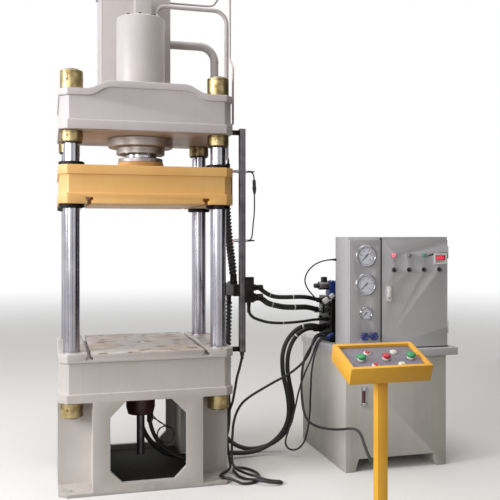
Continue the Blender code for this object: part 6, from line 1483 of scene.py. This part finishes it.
def make_manifold():
    """The valve manifold on the tank lid: ports, solenoid valve, plugs and screws."""
    foot, top = ON_LID, 1.0526
    block = slab((1.27, -0.02, foot), (1.362, 0.22, top), 2 * MM)
    dressed(block, "manifold_block", BLACK_OXIDE, "machine", "valve_manifold")
    body = slab((1.27, 0.01, top - 0.001), (1.372, 0.09, 1.16), 4 * MM, 3)
    rib = slab((1.268, 0.008, top + 0.02), (1.374, 0.092, top + 0.032), 2 * MM)
    dressed(joined(body, rib), "directional_valve", VALVE_PAINT)
    middle = (1.327, 0.05, 1.129)
    for label, side in (("left", -1), ("right", 1)):
        spot = shift(*middle) @ turn(90 * side, "Y")
        lathe(
            f"{label}_solenoid", POST_STEEL,
            [(0.0262, 0.043), (0.028, 0.045), (0.028, 0.12), (0.0262, 0.125), (0.02, 0.125)], 48, at=spot,
        )
        lathe(
            f"{label}_solenoid_cap", BLACK_PLASTIC,
            [(0.013, 0.1245), (0.016, 0.1255), (0.016, 0.15), (0.013, 0.156), (0.006, 0.159)], 28, at=spot,
        )
        x = middle[0] + side * 0.085
        plug = slab((x - 0.018, 0.034, 1.1524), (x + 0.018, 0.066, 1.1874), 2.5 * MM, 3)
        screw = placed(socket_screw(0.006, 0.002), shift(x, 0.05, 1.1873))
        dressed(joined(plug, screw), f"{label}_solenoid_plug", BLACK_PLASTIC)
    studs = repeated(socket_screw(0.01, 0.006), [shift(x, y, 1.1599) for x in (1.296, 1.358) for y in (0.024, 0.076)])
    ports = []
    for y, z, r in (
        (0.1, 1.028, 0.024), (0.15, 0.958, 0.028), (0.071, 0.9, 0.016), (0.11, 0.845, 0.023), (0.165, 0.822, 0.022),
        (0.02, 1.0, 0.014), (0.19, 1.02, 0.012),
    ):
        ports.append(placed(turned([(r, 0), (r, 0.006), (r * 0.9, 0.008)], 28), turn(-90, "Y"), shift(1.2702, y, z)))
    plugs = repeated(
        hex_screw(0.024, 0.01),
        [shift(1.27, y, z) @ turn(-90, "Y") for y, z in ((0.02, 0.94), (0.195, 0.9), (0.04, 0.85))],
    )
    dressed(joined(studs, *ports, plugs), "manifold_ports", BLACK_OXIDE)
    relief = placed(
        turned([(0.016, 0), (0.016, 0.022), (0.011, 0.024), (0.011, 0.04), (0.014, 0.042), (0.014, 0.052)], 32),
        turn(90, "X"), shift(1.316, -0.019, 0.985),
    )
    dressed(relief, "relief_valve", ZINC)
    for i, (x, z, half) in enumerate(((1.2215, 1.036, 0.0185), (1.2645, 1.066, 0.0145))):
        y = -0.0365
        switch = placed(
            slab((-half, -0.015, -0.8 * half), (half, 0.015, 0.8 * half), 2 * MM), turn(-36, "Y"), shift(x, y, z)
        )
        stem = placed(turned([(0.005, 0), (0.005, 0.05)], 16), FACE_RIGHT, shift(x, y, 1.036 + 0.006 * i))
        dressed(joined(switch, stem), f"pressure_switch_{i + 1}", WHITE_PLASTIC)
    bracket = slab((1.262, -0.05, 1.02), (1.3, -0.0195, 1.046), 1.5 * MM)
    dressed(bracket, "pressure_switch_bracket", BLACK_OXIDE)
    loose = placed(
        turned([(0.01, 0), (0.016, 0.004), (0.016, 0.03), (0.011, 0.036), (0.011, 0.05)], 24), turn(60, "Y"),
        shift(1.235, -0.03, 0.786),
    )
    dressed(loose, "test_point", VALVE_PAINT)


def make_motor():
    """The pump motor on its bell housing, with cooling fins, fan cowl and terminal box."""
    foot, x, y = ON_LID, 1.64, 0.13
    spot = shift(x, y)
    lathe(
        "pump_bell_housing", TURNED_STEEL,
        [
            (0.13, foot), (0.13, foot + 0.016), (0.104, foot + 0.018), (0.098, foot + 0.024), (0.098, foot + 0.098),
            (0.104, foot + 0.104), (0.13, foot + 0.106), (0.13, foot + 0.12),
        ],
        64, at=spot,
    )
    screws = repeated(
        hex_screw(0.02, 0.01),
        [spot @ s for s in round_ring(4, 0.115, foot + 0.016, 45)] + [
            spot @ s @ turn(180, "X") for s in round_ring(4, 0.115, foot + 0.1042, 45)
        ],
    )
    dressed(screws, "pump_bell_screws", ZINC)
    core = turned([(0.1, foot + 0.119), (0.1, 1.074)], 64)
    fin = slab((0.096, -0.0013, foot + 0.124), (0.11, 0.0013, 1.07), 0.5 * MM, 1)
    fins = repeated(fin, [turn(360 * i / 36, "Z") for i in range(36) if not 84 < 360 * i / 36 < 96])
    dressed(placed(joined(core, fins), spot), "motor_frame", MOTOR_PAINT, "machine", "pump_motor")
    lathe(
        "motor_fan_cowl", MOTOR_PAINT,
        [(0.118, 1.072), (0.118, 1.1226), (0.112, 1.1346), (0.098, 1.1426), (0.03, 1.1426)], 64, at=spot,
    )
    slots = repeated(slab((0.036, -0.002, 1.1415), (0.09, 0.002, 1.1432)), [turn(360 * i / 18, "Z") for i in range(18)])
    dressed(placed(slots, spot), "motor_fan_grille", BLACK_PLASTIC)
    box = slab((x - 0.05, y + 0.09, foot + 0.14), (x + 0.05, y + 0.15, foot + 0.25), 4 * MM, 3)
    lid = slab((x - 0.046, y + 0.149, foot + 0.144), (x + 0.046, y + 0.154, foot + 0.246), 2 * MM)
    screws = repeated(
        socket_screw(0.007, 0.003),
        [
            shift(x + dx, y + 0.154, foot + 0.195 + dz) @ turn(-90, "X")
            for dx in (-0.038, 0.038)
            for dz in (-0.043, 0.043)
        ],
    )
    dressed(joined(box, lid, screws), "motor_terminal_box", MOTOR_PAINT)


# The pedestal

TRAY_AXES = shift(0.734, -1.6385, 0.8785) @ turn(19.2, "X")
BUTTONS = {
    "palm_button_left": ((0.088, 0.1), "palm", GREEN_PLASTIC, "palm_left"),
    "palm_button_right": ((0.336, 0.1), "palm", GREEN_PLASTIC, "palm_right"),
    "emergency_stop": ((0.212, 0.1), "stop", RED_PLASTIC, "stop"),
    "rear_button_left": ((0.142, 0.157), "flush", RED_PLASTIC, "button_rear_left"),
    "rear_button_right": ((0.276, 0.157), "flush", CREAM_PLASTIC, "button_rear_right"),
    "front_button_left": ((0.136, 0.042), "flush", RED_PLASTIC, "button_front_left"),
    "front_button_right": ((0.266, 0.042), "flush", CREAM_PLASTIC, "button_front_right"),
}


def make_pedestal():
    """The stand, the tilted tray, its button plate and seven buttons."""
    from_cad("pedestal_stand", "stand", PEDESTAL_PAINT, soft=1.5 * MM)
    from_cad("button_tray", "tray", PEDESTAL_PAINT, soft=1.8 * MM)
    spots = [shift(STAND_X + dx, STAND_Y + dy, 0.0098) for dx in (-0.12, 0.12) for dy in (-0.12, 0.12)]
    dressed(repeated(hex_screw(0.019, 0.01), spots), "stand_anchor_bolts", ZINC)
    face = -0.013
    plate = slab((TRAY_RIM, TRAY_RIM, face - 0.003), (TRAY_WIDTH - TRAY_RIM, TRAY_DEPTH - TRAY_RIM, face), 0.4 * MM)
    for (x, y), *_ in BUTTONS.values():
        carved(plate, placed(turned([(0.0124, -0.03), (0.0124, 0.03)], 40), shift(x, y, face)))
    dressed(placed(plate, TRAY_AXES), "button_panel", SATIN_PLATE, "machine", "button_plate")
    screws = repeated(
        socket_screw(0.007, 0.002), [TRAY_AXES @ shift(x, y, face) for x in (0.03, 0.372) for y in (0.03, 0.209)]
    )
    dressed(screws, "button_panel_screws", ZINC)
    for name, ((x, y), kind, finish, body) in BUTTONS.items():
        spot = TRAY_AXES @ shift(x, y, face)
        bezel = carved(
            turned([(0.0172, -0.0005), (0.0176, 0.003), (0.0166, 0.006), (0.015, 0.0068)], 48),
            turned([(0.0127, -0.004), (0.0127, 0.01)], 40),
        )
        dressed(placed(bezel, spot), name + "_bezel", WHITE_PLASTIC)
        if kind == "flush":
            cap = [
                (0.009, -0.014), (0.0118, -0.012), (0.0118, 0.0088), (0.011, 0.0104), (0.0096, 0.011), (0.0088, 0.0104)
            ]
        else:
            r = 0.022 if kind == "palm" else 0.02
            cap = [
                (0.009, -0.014), (0.0115, -0.012), (0.0115, 0.012), (r * 0.86, 0.014), (r, 0.016), (r, 0.02),
                (r * 0.93, 0.023), (r * 0.78, 0.025), (r * 0.5, 0.0262), (r * 0.2, 0.0265),
            ]
        lathe(name + "_cap", finish, cap, 48, body, name, at=spot)


set_camera()
make_cords()
make_body()
make_columns()
make_slide()
make_cylinder()
make_tank_above()
make_pipes()
make_ejector()
make_post()
make_oil_tank()
make_lid()
make_cabinet()
make_gauges()
make_knobs()
make_door()
make_manifold()
make_motor()
make_pedestal()
set_floor()
set_light()
set_flags()
set_background()
bpy.context.scene.view_settings.view_transform = "Standard"
